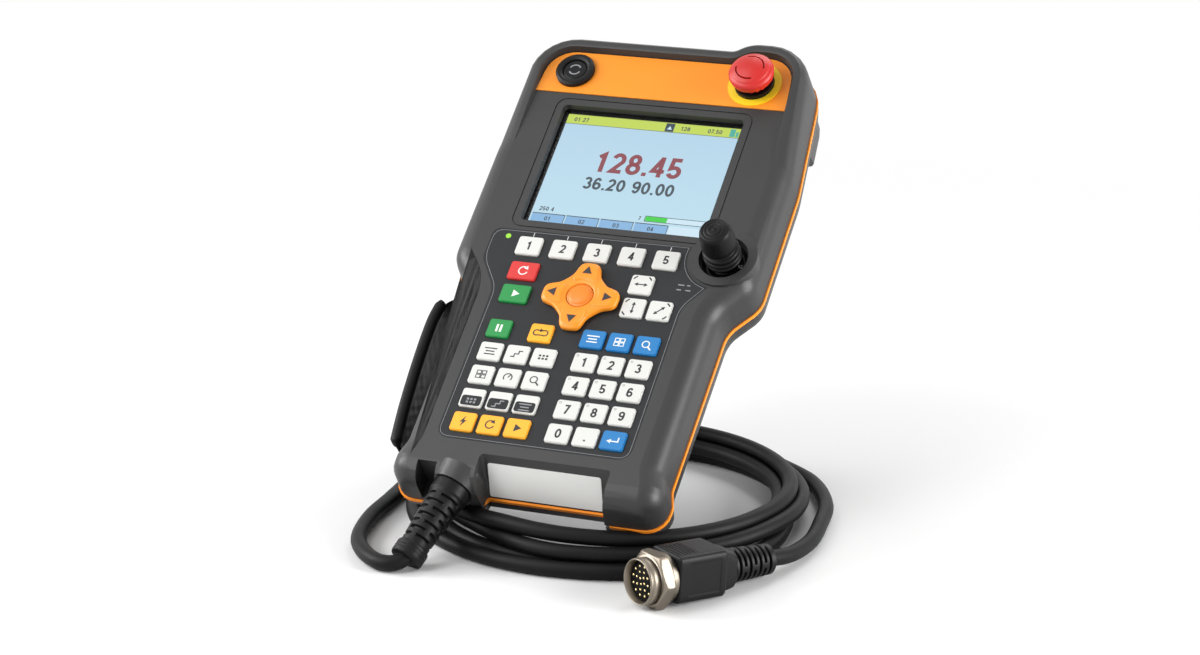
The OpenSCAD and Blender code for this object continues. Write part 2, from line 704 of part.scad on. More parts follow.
stick_pivot_z = -8;
module joystick_base() color(black) posed() translate([stick_at.x, stick_at.y, 0]) difference() {
    union() {
        translate([0, 0, -26]) cylinder(r = stick_bore_r - 0.1, h = 23);
        translate([0, 0, -29]) cylinder(r = 13, h = 4);
    }
    translate([0, 0, -6.2]) cylinder(r1 = 13.6, r2 = 16.6, h = 4);
    translate([0, 0, -17]) cylinder(r = 12.4, h = 12);
}
module joystick_gimbal() color(nickel) posed() translate([stick_at.x, stick_at.y, stick_pivot_z])
    difference() {
        union() {
            translate([0, 0, -2]) cylinder(r = 9.6, h = 4);
            rotate([0, 90, 0]) translate([0, 0, -12]) cylinder(r = 1.6, h = 24);
        }
        translate([0, 0, -5]) cylinder(r = 7.6, h = 10);
    }

// Rubber stick: ribbed bellows at its foot, a domed cap and a cross pin
module joystick_stick() color(black) posed() translate([stick_at.x, stick_at.y, 0]) {
    translate([0, 0, stick_pivot_z]) rotate([90, 0, 0]) cylinder(r = 1.6, h = 13, center = true);
    rotate_extrude() polygon(concat(
        [[0, stick_pivot_z - 3], [4, stick_pivot_z - 3], [4, -4], [10.5, -2.2]],
        [for (k = [0:2]) each [[12.6 - 1.6 * k, 0.4 + 4.2 * k], [12.4 - 1.6 * k, 2.2 + 4.2 * k],
                               [10.2 - 1.2 * k, 3.4 + 4.2 * k]]],
        [[stick_d / 2 - 1, 14], [stick_d / 2, 16], [stick_d / 2, stick_h - 6]],
        [for (a = [15:25:90]) [stick_d / 2 - 4 + 4 * cos(a), stick_h - 5 + 4 * sin(a)]],
        [[stick_d / 2 - 6, stick_h - 0.4], [3, stick_h], [0, stick_h]]));
}

// ---------- plate, screws, strap and levers ----------

plate_w = 81;
plate_x = 12;
plate_l = 25;
plate_t = 0.5;
recess_slope = atan(recess_draft / -shell_low);
module rating_plate() color([0.85, 0.86, 0.87]) posed()
    translate([plate_x, recess_y + 0.8, shell_low]) rotate([-recess_slope, 0, 0])
        translate([0, -plate_t, 1.4]) rotate([90, 0, 0]) mirror([0, 0, 1])
            prism(box_corners(-plate_w / 2, 0, plate_w / 2, plate_l, 1.5), 0, plate_t, 3);

module cover_screws() color(nickel) posed()
    for (p = screw_places) translate([p.x, p.y, back_z + screw_sink]) difference() {
        union() {
            cylinder(r = screw_r, h = shell_low + 8 - back_z - screw_sink);
            translate([0, 0, -2.2]) cylinder(r = screw_head_r, h = 2.2);
        }
        translate([0, 0, -3]) cylinder(r = 1.4, h = 2, $fn = 6);
    }

// Padded band that holds the left hand to the grip
strap_shape = [[8.5, -34], [15, -38], [22, -46], [25, -58], [24.5, -80], [22.5, -105],
               [19.5, -130], [16, -148], [10.5, -160], [3, -167]];
strap_path = [for (p = strap_shape) [-grip_half_w - p.x, p.y]];
strap_t = 5;
strap_z0 = -60;
strap_z1 = -22;
function band(path, t) =
    let (n = len(path),
         side = [for (i = [0:n - 1])
             let (d = unit(path[min(i + 1, n - 1)] - path[max(i - 1, 0)])) [-d.y, d.x]])
    concat([for (i = [0:n - 1]) path[i] + side[i] * t / 2],
           [for (i = [n - 1:-1:0]) path[i] - side[i] * t / 2]);
module hand_strap() color(black) posed()
    translate([0, 0, strap_z0]) linear_extrude(strap_z1 - strap_z0) polygon(band(strap_path, strap_t));

module strap_anchors() color(black) posed() {
    translate([-grip_half_w, 0, 0]) {
        prism([[-7, -43, 1], [-1.5, -43, 1], [-6.5, -34.5, 1], [-11, -37, 1]], -47, -33, 2);
        prism(box_corners(-4.5, -171, 0.6, -162.5, 1), -42, -33, 2);
    }
}

// Enabling lever: a bar hinged along its outer edge, pressed in by the fingers
module lever_shape() {
    translate([0, lever_y0, 0]) rotate([-90, 0, 0]) linear_extrude(lever_y1 - lever_y0)
        polygon([[4, 40], [4, 47.6], [0, 51.5], [-6, -back_z + lever_out - 0.8],
                 [-14, -back_z + lever_out], [-19, -back_z + lever_out - 1.5],
                 [-lever_reach, 50], [-lever_reach, 42], [-16, 42], [-16, 46], [-4, 46], [-4, 40]]);
    translate([0, lever_y0 - 5, lever_z]) rotate([-90, 0, 0])
        cylinder(r = 2, h = lever_y1 - lever_y0 + 10);
}
module enable_lever_right() color(slate) posed() translate([lever_x, 0, 0]) lever_shape();
module enable_lever_left() color(slate) posed() translate([-lever_x, 0, 0]) mirror([1, 0, 0]) lever_shape();

// ---------- cord ----------

// Boot with rings of slots, each ring bridged on two sides, turned by a quarter
// from ring to ring
module slotted_boot(len, r1, r2, rings, pitch, first) difference() {
    cylinder(r1 = r1, r2 = r2, h = len);
    for (k = [0:rings - 1]) translate([0, 0, first + pitch * k]) difference() {
        cylinder(r = r1 + 5, h = pitch * 0.42);
        translate([0, 0, -1]) cylinder(r = cord_d / 2 + 0.9, h = pitch);
        rotate([0, 0, 90 * (k % 2)]) translate([-30, -2.2, -1]) cube([60, 4.4, pitch]);
    }
}
neck_len = 9;
collar_len = 6;
relief_collar_len = 8;
boot_tip = gland_len + relief_collar_len + boot_len;
module strain_relief() color(black) posed() at_gland() {
    translate([0, 0, gland_len - neck_len]) cylinder(r = gland_bore_r - 0.05, h = neck_len + 1);
    translate([0, 0, gland_len - relief_seat])
        cylinder(r = relief_collar_r, h = relief_collar_len + relief_seat);
    translate([0, 0, gland_len + relief_collar_len])
        slotted_boot(boot_len - collar_len, 12.4, 9.6, 6, 6.4, 4);
    translate([0, 0, boot_tip - collar_len]) cylinder(r = 9, h = collar_len);
}

// Coil: five turns of the cord in a rough pyramid, lying flat
coil_at = [16, 123];
cord_r = cord_d / 2;
layer_h = sqrt(cord_d * cord_d - coil_step * coil_step / 4);
module cable_coil() color(black) translate([coil_at.x, coil_at.y, 0])
    rotate_extrude($fn = 96) polygon([
        [coil_r + cord_r - 2, 0], [coil_r + cord_r, 3.5], [coil_r + cord_r, 7.5],
        [coil_r - coil_step / 2 + cord_r, layer_h + 7.5],
        [coil_r - coil_step + cord_r - 1.5, 2 * layer_h + cord_d - 1.2],
        [coil_r - coil_step, 2 * layer_h + cord_d],
        [coil_r - coil_step - cord_r + 1.5, 2 * layer_h + cord_d - 1.2],
        [coil_r - coil_step * 1.5 - cord_r, layer_h + 7.5],
        [coil_r - coil_step * 1.5 - cord_r, layer_h + 3],
        [coil_r - coil_step - cord_r, 6], [coil_r - coil_step - cord_r + 1.5, 0]]);

// Free stretch from the boot round to the coil
boot_end = posed_point([gland_at.x - boot_tip * sin(gland_turn),
                        gland_at.y - boot_tip * cos(gland_turn), gland_at.z]);
boot_dir = posed_dir([-sin(gland_turn), -cos(gland_turn), 0]);
lead_route = [[-66, -40, 7], [-78, -43, 6], [-96, -30, 6], [-112, -6, 6], [-122, 32, 6],
              [-125, 70, 6], [-122, 104, 6], [-116, 135, 6]];
module cable_lead() color(black)
    cord_tube(concat([boot_end - boot_dir * 14, boot_end], lead_route), 2, boot_dir,
              lead_route[7] - lead_route[5]);

// Free stretch from the coil to the plug's boot
plug_at = [103, -44, 18.8];
plug_turn = 57;
plug_tilt = 3.9;
plug_len = 105;
plug_dir = [cos(plug_turn) * cos(plug_tilt), sin(plug_turn) * cos(plug_tilt), -sin(plug_tilt)];
tail_start = plug_at + plug_len * plug_dir;
tail_route = [[168, 66, 8], [171, 98, 6], [167, 132, 6], [158, 172, 6], [135, 212, 6],
              [98, 242, 6], [56, 255, 6], [16, 257, 6]];
module cable_tail() color(black)
    cord_tube(concat([tail_start - plug_dir * 20, tail_start], tail_route), 2, plug_dir,
              tail_route[7] - tail_route[5]);

// ---------- plug ----------

// Draws along the plug's axis, from the open rim towards the cord
module at_plug()
    translate(plug_at) rotate([0, 0, plug_turn]) rotate([0, 90 + plug_tilt, 0]) children();

shell_len = 22;
nose_len = 7.6;
insert_sink = 7;
nut_seat_r = shell_d / 2 - 0.9;
module plug_shell() color(nickel) at_plug() difference() {
    union() {
        cylinder(r = shell_d / 2, h = nose_len);
        cylinder(r = nut_seat_r, h = shell_len);
    }
    translate([0, 0, -1]) cylinder(r = shell_bore / 2, h = shell_len + 2);
}

// Black insert with 24 pins in three rings
pin_rings = [[4, 2.6], [8, 6.2], [12, 9.8]];
module plug_insert() color(black) at_plug() {
    translate([0, 0, insert_sink]) cylinder(r = shell_bore / 2, h = shell_len - insert_sink);
    for (g = pin_rings, k = [0:g[0] - 1]) rotate([0, 0, 360 * k / g[0]])
        translate([g[1], 0, 2.2]) cylinder(r = 0.75, h = insert_sink, $fn = 16);
}

module plug_nut() color(nickel) at_plug() difference() {
    union() {
        translate([0, 0, nose_len + 0.4]) cylinder(r = nut_flats / 2 / cos(30), h = 10, $fn = 6);
        translate([0, 0, nose_len + 10]) cylinder(r = 16.2, h = shell_len - nose_len - 10.3);
    }
    cylinder(r = nut_seat_r + nut_gap, h = shell_len + 2);
}

body_start = shell_len;
body_len = 38;
module plug_body() color(charcoal) at_plug() difference() {
    union() {
        prism(inset_corners(box_corners(-backshell_w / 2, -backshell_w / 2,
                                        backshell_w / 2, backshell_w / 2, 4), 0),
              body_start, body_start + body_len, 4);
        hull() {
            translate([0, 0, body_start + body_len - 1])
                prism(box_corners(-11.5, -12.5, 11.5, 12.5, 3.5), 0, 1, 4);
            translate([0, 0, body_start + body_len + 10])
                cylinder(r = 10.4, h = 1, $fn = 32);
        }
    }
    // Grip ridges across the top, near the nut
    for (k = [0:4]) translate([-backshell_w / 2 - 1, -10, body_start + 3 + 2.6 * k])
        cube([1.9, 20, 1.2]);
}

module plug_boot() color(black) at_plug()
    translate([0, 0, body_start + body_len + 11])
        slotted_boot(plug_len - body_start - body_len - 11, 10, 8.2, 5, 5.6, 4);

front_housing();
back_cover();
head_cover();
seam_gasket();
top_panel();
display_window();
display_module();
main_board();
keypad_overlay();
key_board();
status_led();
rating_plate();
cover_screws();
strap_anchors();
hand_strap();
enable_lever_left();
enable_lever_right();
estop_ring();
estop_body();
estop_plunger();
estop_head();
button_bezel();
button_cap();
joystick_base();
joystick_gimbal();
joystick_stick();
dpad_pivot();
dpad();
dpad_centre();
strain_relief();
cable_lead();
cable_coil();
cable_tail();
plug_boot();
plug_body();
plug_nut();
plug_shell();
plug_insert();
soft_keycap(0);  // key_f1
soft_keycap(1);  // key_f2
soft_keycap(2);  // key_f3
soft_keycap(3);  // key_f4
soft_keycap(4);  // key_f5
start_keycap(0, red);  // key_reset
start_keycap(1, green);  // key_start
square_keycap(0, green);  // key_hold
square_keycap(1, amber);  // key_loop
axis_keycap(0);  // key_x
axis_keycap(1);  // key_y
axis_keycap(2);  // key_z
key_row(right_block_at, -1, blue);  // keys_blue
key_row(left_block_at, 0, white);  // keys_left_1
key_row(left_block_at, 1, white);  // keys_left_2
key_row(left_block_at, 2, white);  // keys_left_3
key_row(left_block_at, 3, amber);  // keys_left_4
key_row(right_block_at, 0, white);  // keys_right_1
key_row(right_block_at, 1, white);  // keys_right_2
key_row(right_block_at, 2, white);  // keys_right_3
key_row(right_block_at, 3, white);  // keys_right_4
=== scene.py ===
"""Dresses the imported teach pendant: finishes, key legends, display picture, strap, cord and stage."""

import json
import math

import bmesh
import bpy
import numpy as np
from mathutils import Matrix, Vector


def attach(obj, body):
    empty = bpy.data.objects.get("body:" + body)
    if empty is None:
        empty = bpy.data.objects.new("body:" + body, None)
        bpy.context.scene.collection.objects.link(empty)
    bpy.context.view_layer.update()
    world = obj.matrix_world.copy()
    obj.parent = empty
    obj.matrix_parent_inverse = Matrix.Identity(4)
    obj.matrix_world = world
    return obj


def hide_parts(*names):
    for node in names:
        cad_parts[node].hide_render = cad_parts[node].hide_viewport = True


bl_info = {
    "name": "Teach pendant",
    "version": (1, 0, 0),
    "blender": (4, 5, 0),
    "location": "View3D > Sidebar > Pendant",
    "description": "Finishes, legends, strap, cord and stage for a packed teach pendant",
    "category": "Object",
}

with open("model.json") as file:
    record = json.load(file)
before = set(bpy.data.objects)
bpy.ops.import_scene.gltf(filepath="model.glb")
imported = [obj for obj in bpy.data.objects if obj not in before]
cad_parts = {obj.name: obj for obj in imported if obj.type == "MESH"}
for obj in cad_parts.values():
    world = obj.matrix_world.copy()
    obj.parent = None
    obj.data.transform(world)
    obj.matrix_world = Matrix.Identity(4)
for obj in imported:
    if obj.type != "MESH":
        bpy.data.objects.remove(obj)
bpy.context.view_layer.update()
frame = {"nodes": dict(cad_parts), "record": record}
NODES = frame["nodes"]
MM = 0.001

# The face: its own axes in the frame, with lengths on it in millimetres
FACE_LEAN = math.radians(38.45)
FACE_RIGHT = np.array([1.0, 0.0, 0.0])
FACE_UP = np.array([0.0, math.cos(FACE_LEAN), math.sin(FACE_LEAN)])
FACE_OUT = np.array([0.0, -math.sin(FACE_LEAN), math.cos(FACE_LEAN)])
FACE_CENTRE = np.array([0.0, 157.0, 177.0])
FACE_AXES = np.stack([FACE_RIGHT, FACE_UP, FACE_OUT])


def posed(points):
    """Face points in millimetres, as (n, 3), placed in the frame in metres."""
    return (FACE_CENTRE + np.asarray(points, float) @ FACE_AXES) * MM


# ---------- meshes ----------


def grid_faces(rows, columns, wrap_rows=False, wrap_columns=False):
    """Quads of a grid of points stored row by row, joined end to end where it wraps."""
    row = np.arange(rows if wrap_rows else rows - 1)[:, None]
    column = np.arange(columns if wrap_columns else columns - 1)[None, :]
    next_row, next_column = (row + 1) % rows, (column + 1) % columns
    corners = [row * columns + column, row * columns + next_column,
               next_row * columns + next_column, next_row * columns + column]
    return np.stack([np.broadcast_to(c, (len(row), column.shape[1])) for c in corners], -1).reshape(-1, 4)


def capped(rows, columns):
    """Faces of a tube of rows, with one flat face over each end."""
    faces = grid_faces(rows, columns, wrap_columns=True).tolist()
    return faces + [list(range(columns))[::-1], list(range((rows - 1) * columns, rows * columns))]


def mesh_piece(name, points, faces, material, body, smooth=True):
    """Object with these points and faces, riding on a body."""
    mesh = bpy.data.meshes.new(name)
    mesh.from_pydata(np.asarray(points, float).tolist(), [], [list(f) for f in faces])
    shell = bmesh.new()
    shell.from_mesh(mesh)
    bmesh.ops.recalc_face_normals(shell, faces=shell.faces)
    shell.to_mesh(mesh)
    shell.free()
    mesh.polygons.foreach_set("use_smooth", np.full(len(mesh.polygons), smooth))
    for each in material if isinstance(material, (list, tuple)) else [material]:
        mesh.materials.append(each)
    piece = bpy.data.objects.new(name, mesh)
    bpy.context.scene.collection.objects.link(piece)
    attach(piece, body)
    return piece


def revolve(profile, steps=64):
    """Points and faces of a closed solid of revolution about z: each profile point
    (radius, height) swept to radius * (cos a, sin a). The profile's ends lie on the axis."""
    profile = np.asarray(profile, float)
    turn = np.linspace(0, 2 * np.pi, steps, endpoint=False)
    rings = profile[1:-1]
    points = np.stack([rings[:, :1] * np.cos(turn), rings[:, :1] * np.sin(turn),
                       np.broadcast_to(rings[:, 1:], (len(rings), steps))], -1).reshape(-1, 3)
    faces = grid_faces(len(rings), steps, wrap_columns=True).tolist()
    first, last = len(points), len(points) + 1
    points = np.vstack([points, [0, 0, profile[0, 1]], [0, 0, profile[-1, 1]]])
    end = (len(rings) - 1) * steps
    faces += [[first, (k + 1) % steps, k] for k in range(steps)]
    faces += [[last, end + k, end + (k + 1) % steps] for k in range(steps)]
    return points, faces


def ramp(x):
    """Smooth step from 0 to 1: x * x * (3 - 2 * x), level below 0 and above 1."""
    x = np.clip(x, 0, 1)
    return x * x * (3 - 2 * x)


def smooth_line(points, step):
    """Points about step apart on the Catmull-Rom spline through the given ones."""
    p = np.asarray(points, float)
    p = np.vstack([2 * p[0] - p[1], p, 2 * p[-1] - p[-2]])
    spans = []
    for a, b, c, d in zip(p[:-3], p[1:-2], p[2:-1], p[3:]):
        count = max(1, round(np.linalg.norm(c - b) / step))
        t = (np.arange(count) / count)[:, None]
        spans.append(0.5 * (2 * b + (c - a) * t + (2 * a - 5 * b + 4 * c - d) * t ** 2
                            + (3 * b - a - 3 * c + d) * t ** 3))
    return np.vstack([*spans, p[-2:-1]])


def tube(line, radius, sides):
    """Closed tube round a line: ring points are centre + radius * (side * cos a + top * sin a),
    with the side vector carried along the line so that it never twists."""
    tangent = np.gradient(line, axis=0)
    tangent /= np.linalg.norm(tangent, axis=1)[:, None]
    side = np.zeros_like(line)
    side[0] = np.cross(tangent[0], [0, 0, 1])
    side[0] /= np.linalg.norm(side[0])
    for i in range(1, len(line)):
        carried = side[i - 1] - tangent[i] * (side[i - 1] @ tangent[i])
        side[i] = carried / np.linalg.norm(carried)
    top = np.cross(side, tangent)
    turn = np.linspace(0, 2 * np.pi, sides, endpoint=False)[None, :, None]
    points = line[:, None] + radius * (side[:, None] * np.cos(turn) + top[:, None] * np.sin(turn))
    return points.reshape(-1, 3), capped(len(line), sides)


# ---------- finishes ----------


def srgb(code):
    """Linear colour of a six-digit colour code."""
    parts = np.array([int(code[i:i + 2], 16) for i in (0, 2, 4)]) / 255
    linear = np.where(parts <= 0.04045, parts / 12.92, ((parts + 0.055) / 1.055) ** 2.4)
    return (*linear.tolist(), 1.0)


class Shade:
    """A node socket that takes part in Python arithmetic."""

    def __init__(self, nodes, socket):
        self.nodes = nodes
        self.socket = socket

    def _do(self, operation, first, second):
        """Result of a Math node."""
        return self.nodes.node("Math", {"operation": operation}, {0: first, 1: second})

    def __add__(self, other):
        return self._do("ADD", self, other)

    __radd__ = __add__

    def __mul__(self, other):
        return self._do("MULTIPLY", self, other)

    __rmul__ = __mul__

    def __pow__(self, other):
        return self._do("POWER", self, other)

    def __rpow__(self, other):
        return self._do("POWER", other, self)


class Nodes:
    """A node tree and the one way to add nodes to it."""

    def __init__(self, tree):
        self.tree = tree

    def node(self, kind, settings=None, inputs=None, output=0):
        """New node: its settings are set first, then its sockets are given values or links."""
        made = self.tree.nodes.new("ShaderNode" + kind)
        for name, value in (settings or {}).items():
            setattr(made, name, value)
        for name, value in (inputs or {}).items():
            self.feed(made.inputs[name], value)
        return Shade(self, made.outputs[output])

    def feed(self, socket, value):
        """Links a socket, or sets its value."""
        if isinstance(value, Shade):
            self.tree.links.new(value.socket, socket)
        else:
            socket.default_value = value


class Paint(Nodes):
    """One material: its Principled shader, with methods for the patterns that feed it."""

    def __init__(self, name, **values):
        self.material = bpy.data.materials.new(name)
        self.material.use_nodes = True
        super().__init__(self.material.node_tree)
        self.shader = self.tree.nodes["Principled BSDF"]
        self.place = self.node("TexCoord", output="Object")
        for socket, value in values.items():
            self.set(socket.replace("_", " "), value)

    def set(self, name, value):
        """Gives the shader's socket of this name a value or a link."""
        self.feed(self.shader.inputs[name], value)

    def surface(self, shader):
        """Puts another shader in place of the Principled one."""
        self.feed(self.tree.nodes["Material Output"].inputs["Surface"], shader)

    def noise(self, size, detail):
        """Smooth noise from 0 to 1 whose features are about size metres across."""
        return self.node("TexNoise", {}, {"Vector": self.place, "Scale": 1 / size, "Detail": detail})

    def mix(self, factor, low, high):
        """Colour from low to high as the factor goes from 0 to 1."""
        return self.node("Mix", {"data_type": "RGBA"}, {0: factor, 6: low, 7: high}, output=2)

    def bump(self, height, depth):
        """Gives the surface this height pattern, depth metres from low to high."""
        self.set("Normal", self.node("Bump", {}, {"Height": height, "Distance": depth, "Strength": 1.0}))


def moulded(name, colour, roughness, grain=0.0005, depth=0.00003, spread=0.12, shine=0.5):
    """Moulded plastic: fine grain, faint cloudiness in tone and gloss."""
    paint = Paint(name, Specular_IOR_Level=shine)
    cloud = paint.noise(0.03, 4)
    fine = paint.noise(grain, 3)
    dark = tuple(c * (1 - spread) for c in colour[:3]) + (1,)
    light = tuple(min(1, c * (1 + spread)) for c in colour[:3]) + (1,)
    paint.set("Base Color", paint.mix(cloud * 0.7 + fine * 0.3, dark, light))
    paint.set("Roughness", roughness - 0.06 + cloud * 0.06 + fine * 0.08)
    paint.bump(fine, depth)
    return paint.material


def rubbery(name, colour, roughness):
    """Rubber sheath: soft low sheen, dusty patches, very fine surface."""
    paint = Paint(name, Specular_IOR_Level=0.18)
    dust = paint.noise(0.018, 5)
    fine = paint.noise(0.0009, 4)
    pale = tuple(c * 1.5 + 0.004 for c in colour[:3]) + (1,)
    paint.set("Base Color", paint.mix(dust ** 3.0, colour, pale))
    paint.set("Roughness", roughness - 0.1 + dust * 0.2)
    paint.bump(fine, 0.00004)
    return paint.material


def metal(name, colour, roughness):
    """Plated metal with turning marks and faint tarnish."""
    paint = Paint(name, Metallic=1.0)
    tarnish = paint.noise(0.006, 5)
    marks = paint.noise(0.0006, 3)
    dull = tuple(c * 0.72 for c in colour[:3]) + (1,)
    paint.set("Base Color", paint.mix(tarnish, dull, colour))
    paint.set("Roughness", roughness - 0.08 + tarnish * 0.12 + marks * 0.08)
    paint.bump(marks, 0.000012)
    return paint.material


def lit(name, colour):
    """A lit patch of the display or a lamp."""
    paint = Paint(name, Roughness=0.6, Emission_Strength=1.0)
    paint.set("Base Color", (0, 0, 0, 1))
    paint.set("Emission Color", colour)
    return paint.material


def sky(name):
    """The screen's pale blue, lighter towards its lower end."""
    paint = Paint(name, Roughness=0.6, Emission_Strength=1.0)
    paint.set("Base Color", (0, 0, 0, 1))
    height = paint.node("SeparateXYZ", {}, {0: paint.place}, "Z")
    share = paint.node("MapRange", {}, {"Value": height, "From Min": 0.18, "From Max": 0.26})
    paint.set("Emission Color", paint.mix(share, srgb("bfe0ee"), srgb("b0cfe6")))
    return paint.material


def clear_glass(name):
    """Thin window: clear, with the gloss that glass has at a slant."""
    paint = Paint(name)
    gloss = paint.node("BsdfGlossy", {}, {"Color": (1, 1, 1, 1), "Roughness": 0.04}, "BSDF")
    clear = paint.node("BsdfTransparent", {}, {"Color": (0.96, 0.975, 0.98, 1)}, "BSDF")
    fresnel = paint.node("Fresnel", {}, {"IOR": 1.45})
    paint.surface(paint.node("MixShader", {}, {0: fresnel, 1: clear, 2: gloss}, "Shader"))
    return paint.material


KEY = (0.42, 0.0006, 0.00001)
INK = (0.5, 0.0003, 0.000002)
# Colour code of each finish, then the values of the function that makes it
MOULDED = {
    "circuit_board": ("0c4a2a", 0.4),
    "overlay_slate": ("2a2b2d", 0.5, 0.0004, 0.00001, 0.05, 0.2),
    "plate_silver": ("e8e8e5", 0.4, 0.0005, 0.00001, 0.03),
    "black_plastic": ("0c0c0d", 0.42, 0.0005, 0.00001, 0.12, 0.2),
    "lever_plastic": ("2c2c2e", 0.5),
    "estop_red": ("c01f1a", 0.42, 0.0005, 0.00001, 0.05),
    "estop_yellow": ("f5cf1d", 0.45, 0.0005, 0.00001, 0.03),
    "contact_insert": ("080808", 0.6, 0.0005, 0.00003, 0.12, 0.1),
    "key_white": ("dcdcd8", *KEY, 0.03),
    "key_red": ("d0312e", *KEY, 0.04),
    "key_green": ("178a40", *KEY, 0.04),
    "key_amber": ("fcb42c", *KEY, 0.03),
    "key_blue": ("1677b8", *KEY, 0.04),
    "pad_orange": ("f7941d", 0.4, 0.0006, 0.00001, 0.04),
    "pad_centre": ("ee8522", 0.36, 0.0006, 0.00001, 0.05),
    "ink_black": ("1c1c1e", *INK),
    "ink_white": ("eeeeea", *INK),
    "ink_grey": ("8b8d90", *INK),
    "pad_edge": ("c86a10", *INK),
}
RUBBERY = {
    "gasket_orange": ("fb9128", 0.45),
    "strap_fabric": ("050505", 0.45),
    "joystick_rubber": ("080809", 0.42),
    "cord_rubber": ("070708", 0.5),
}
METAL = {"steel": ("b9b7b4", 0.3), "nickel": ("8e8579", 0.38), "contact_gold": ("f3dca4", 0.25)}
LIT = {
    "led_green": ("a6f03a",),
    "screen_lime": ("c3d74f",),
    "screen_dark": ("3c4750",),
    "screen_navy": ("22364a",),
    "screen_teal": ("3fae9c",),
    "screen_white": ("cfe8f4",),
    "screen_maroon": ("8c3a44",),
    "screen_cell": ("86b4de",),
    "screen_green": ("35d035",),
}
# All materials of the object, by the record's slot names where one fits
FINISH = {}


def make_finishes(colours):
    """Fills FINISH from the tables and from the two colours that a user may change."""
    for make, table in ((moulded, MOULDED), (rubbery, RUBBERY), (metal, METAL), (lit, LIT)):
        for name, (code, *values) in table.items():
            FINISH[name] = make(name, srgb(code), *values)
    FINISH["housing_plastic"] = moulded("housing_plastic", (*colours.housing, 1), 0.4, 0.0007, 0.00005,
                                        shine=0.4)
    FINISH["panel_orange"] = moulded("panel_orange", (*colours.orange, 1), 0.45, 0.0004, 0.00001, 0.03)
    FINISH["window_glass"] = clear_glass("window_glass")
    FINISH["screen_sky"] = sky("screen_sky")


def stand_in(name, shape, finish, body, *nodes):
    """Piece with these points and faces and this finish, in place of CAD nodes."""
    piece = mesh_piece(name, *shape, FINISH[finish], body)
    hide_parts(*nodes)
    return piece


# ---------- settings ----------


class PendantColours(bpy.types.PropertyGroup):
    """Main colours of the pendant."""

    housing: bpy.props.FloatVectorProperty(
        name="Housing", description="Moulded housing", subtype="COLOR", size=3,
        default=srgb("303030")[:3], min=0, max=1)
    orange: bpy.props.FloatVectorProperty(
        name="Top panel", description="Panel round the top controls", subtype="COLOR", size=3,
        default=srgb("f5921e")[:3], min=0, max=1)


class PendantCord(bpy.types.PropertyGroup):
    """The cord and how its turns lie."""

    diameter: bpy.props.FloatProperty(
        name="Diameter", description="Diameter of the cord", default=0.0108, min=0.009,
        max=0.011, subtype="DISTANCE")
    settling: bpy.props.IntProperty(
        name="Settling", description="Rounds in which turns that press on each other move apart",
        default=160, min=0, max=400)


# ---------- strain relief and connector ----------


def round_solid(radius, height, ring=False):
    """Points and faces round z: radius[i, j] at the height [i] and the angle 2 pi j / columns.
    Its first and last rows are capped, or joined to each other where it is a ring."""
    n, m = radius.shape
    turn = np.linspace(0, 2 * np.pi, m, endpoint=False)
    points = np.stack([radius * np.cos(turn), radius * np.sin(turn),
                       np.broadcast_to(np.asarray(height, float)[:, None], (n, m))], -1)
    faces = grid_faces(n, m, wrap_rows=True, wrap_columns=True) if ring else capped(n, m)
    return points.reshape(-1, 3), faces


def slots(height, turn, first, pitch, rings, webs):
    """How deep, from 0 to 1, each point lies in a boot's slots. Slot k covers half a pitch from
    first + pitch * k and is bridged by webs near the zeros of sin(webs * (a - k * pi / (2 * webs)))."""
    place = (height - first) / pitch
    k = np.floor(place)
    along = ramp((place - k) / 0.12) * ramp((0.52 - place + k) / 0.12) * (k >= 0) * (k < rings)
    bridge = np.abs(np.sin(webs * (turn - k * np.pi / (2 * webs))))
    return along * ramp((bridge - 0.14 * webs) / 0.14)


GLAND_AT, GLAND_TURN = np.array([-46.5, -186, -13]), math.radians(13.4)
GLAND_AXES = np.array([[math.cos(GLAND_TURN), -math.sin(GLAND_TURN), 0], [0, 0, 1],
                       [-math.sin(GLAND_TURN), -math.cos(GLAND_TURN), 0]])


class PENDANT_OT_relief(bpy.types.Operator):
    """Makes the strain relief: a smooth seat, seven rings of slots and a wide ribbed end"""

    bl_idname = "pendant.relief"
    bl_label = "Strain relief"

    def execute(self, context):
        turn = np.linspace(0, 2 * np.pi, 216, endpoint=False)[None]
        height = [3, 11.3, 11.4, 12.2, 13, *np.arange(13.4, 71.6, 0.25), 71.8, 72]
        height = np.array(height)[:, None]
        taper = np.interp(height, [3, 11.3, 11.4, 12.2, 20, 21.5, 62, 62.6, 63.2, 71, 72],
                          [9.4, 9.4, 12.8, 13.4, 13.4, 12.6, 9.9, 11.1, 11.4, 11.4, 10.9])
        ribs = 0.35 * (np.sin(height * 2.6) > 0.3) * (height > 64) * (height < 70.6)
        radius = taper - 2.3 * slots(height, turn, 23.5, 5.4, 7, 2) - ribs
        points, faces = round_solid(radius, height[:, 0])
        shape = posed(GLAND_AT + points @ GLAND_AXES), faces
        stand_in("relief_boot", shape, "black_plastic", "pendant", "strain_relief")
        return {"FINISHED"}


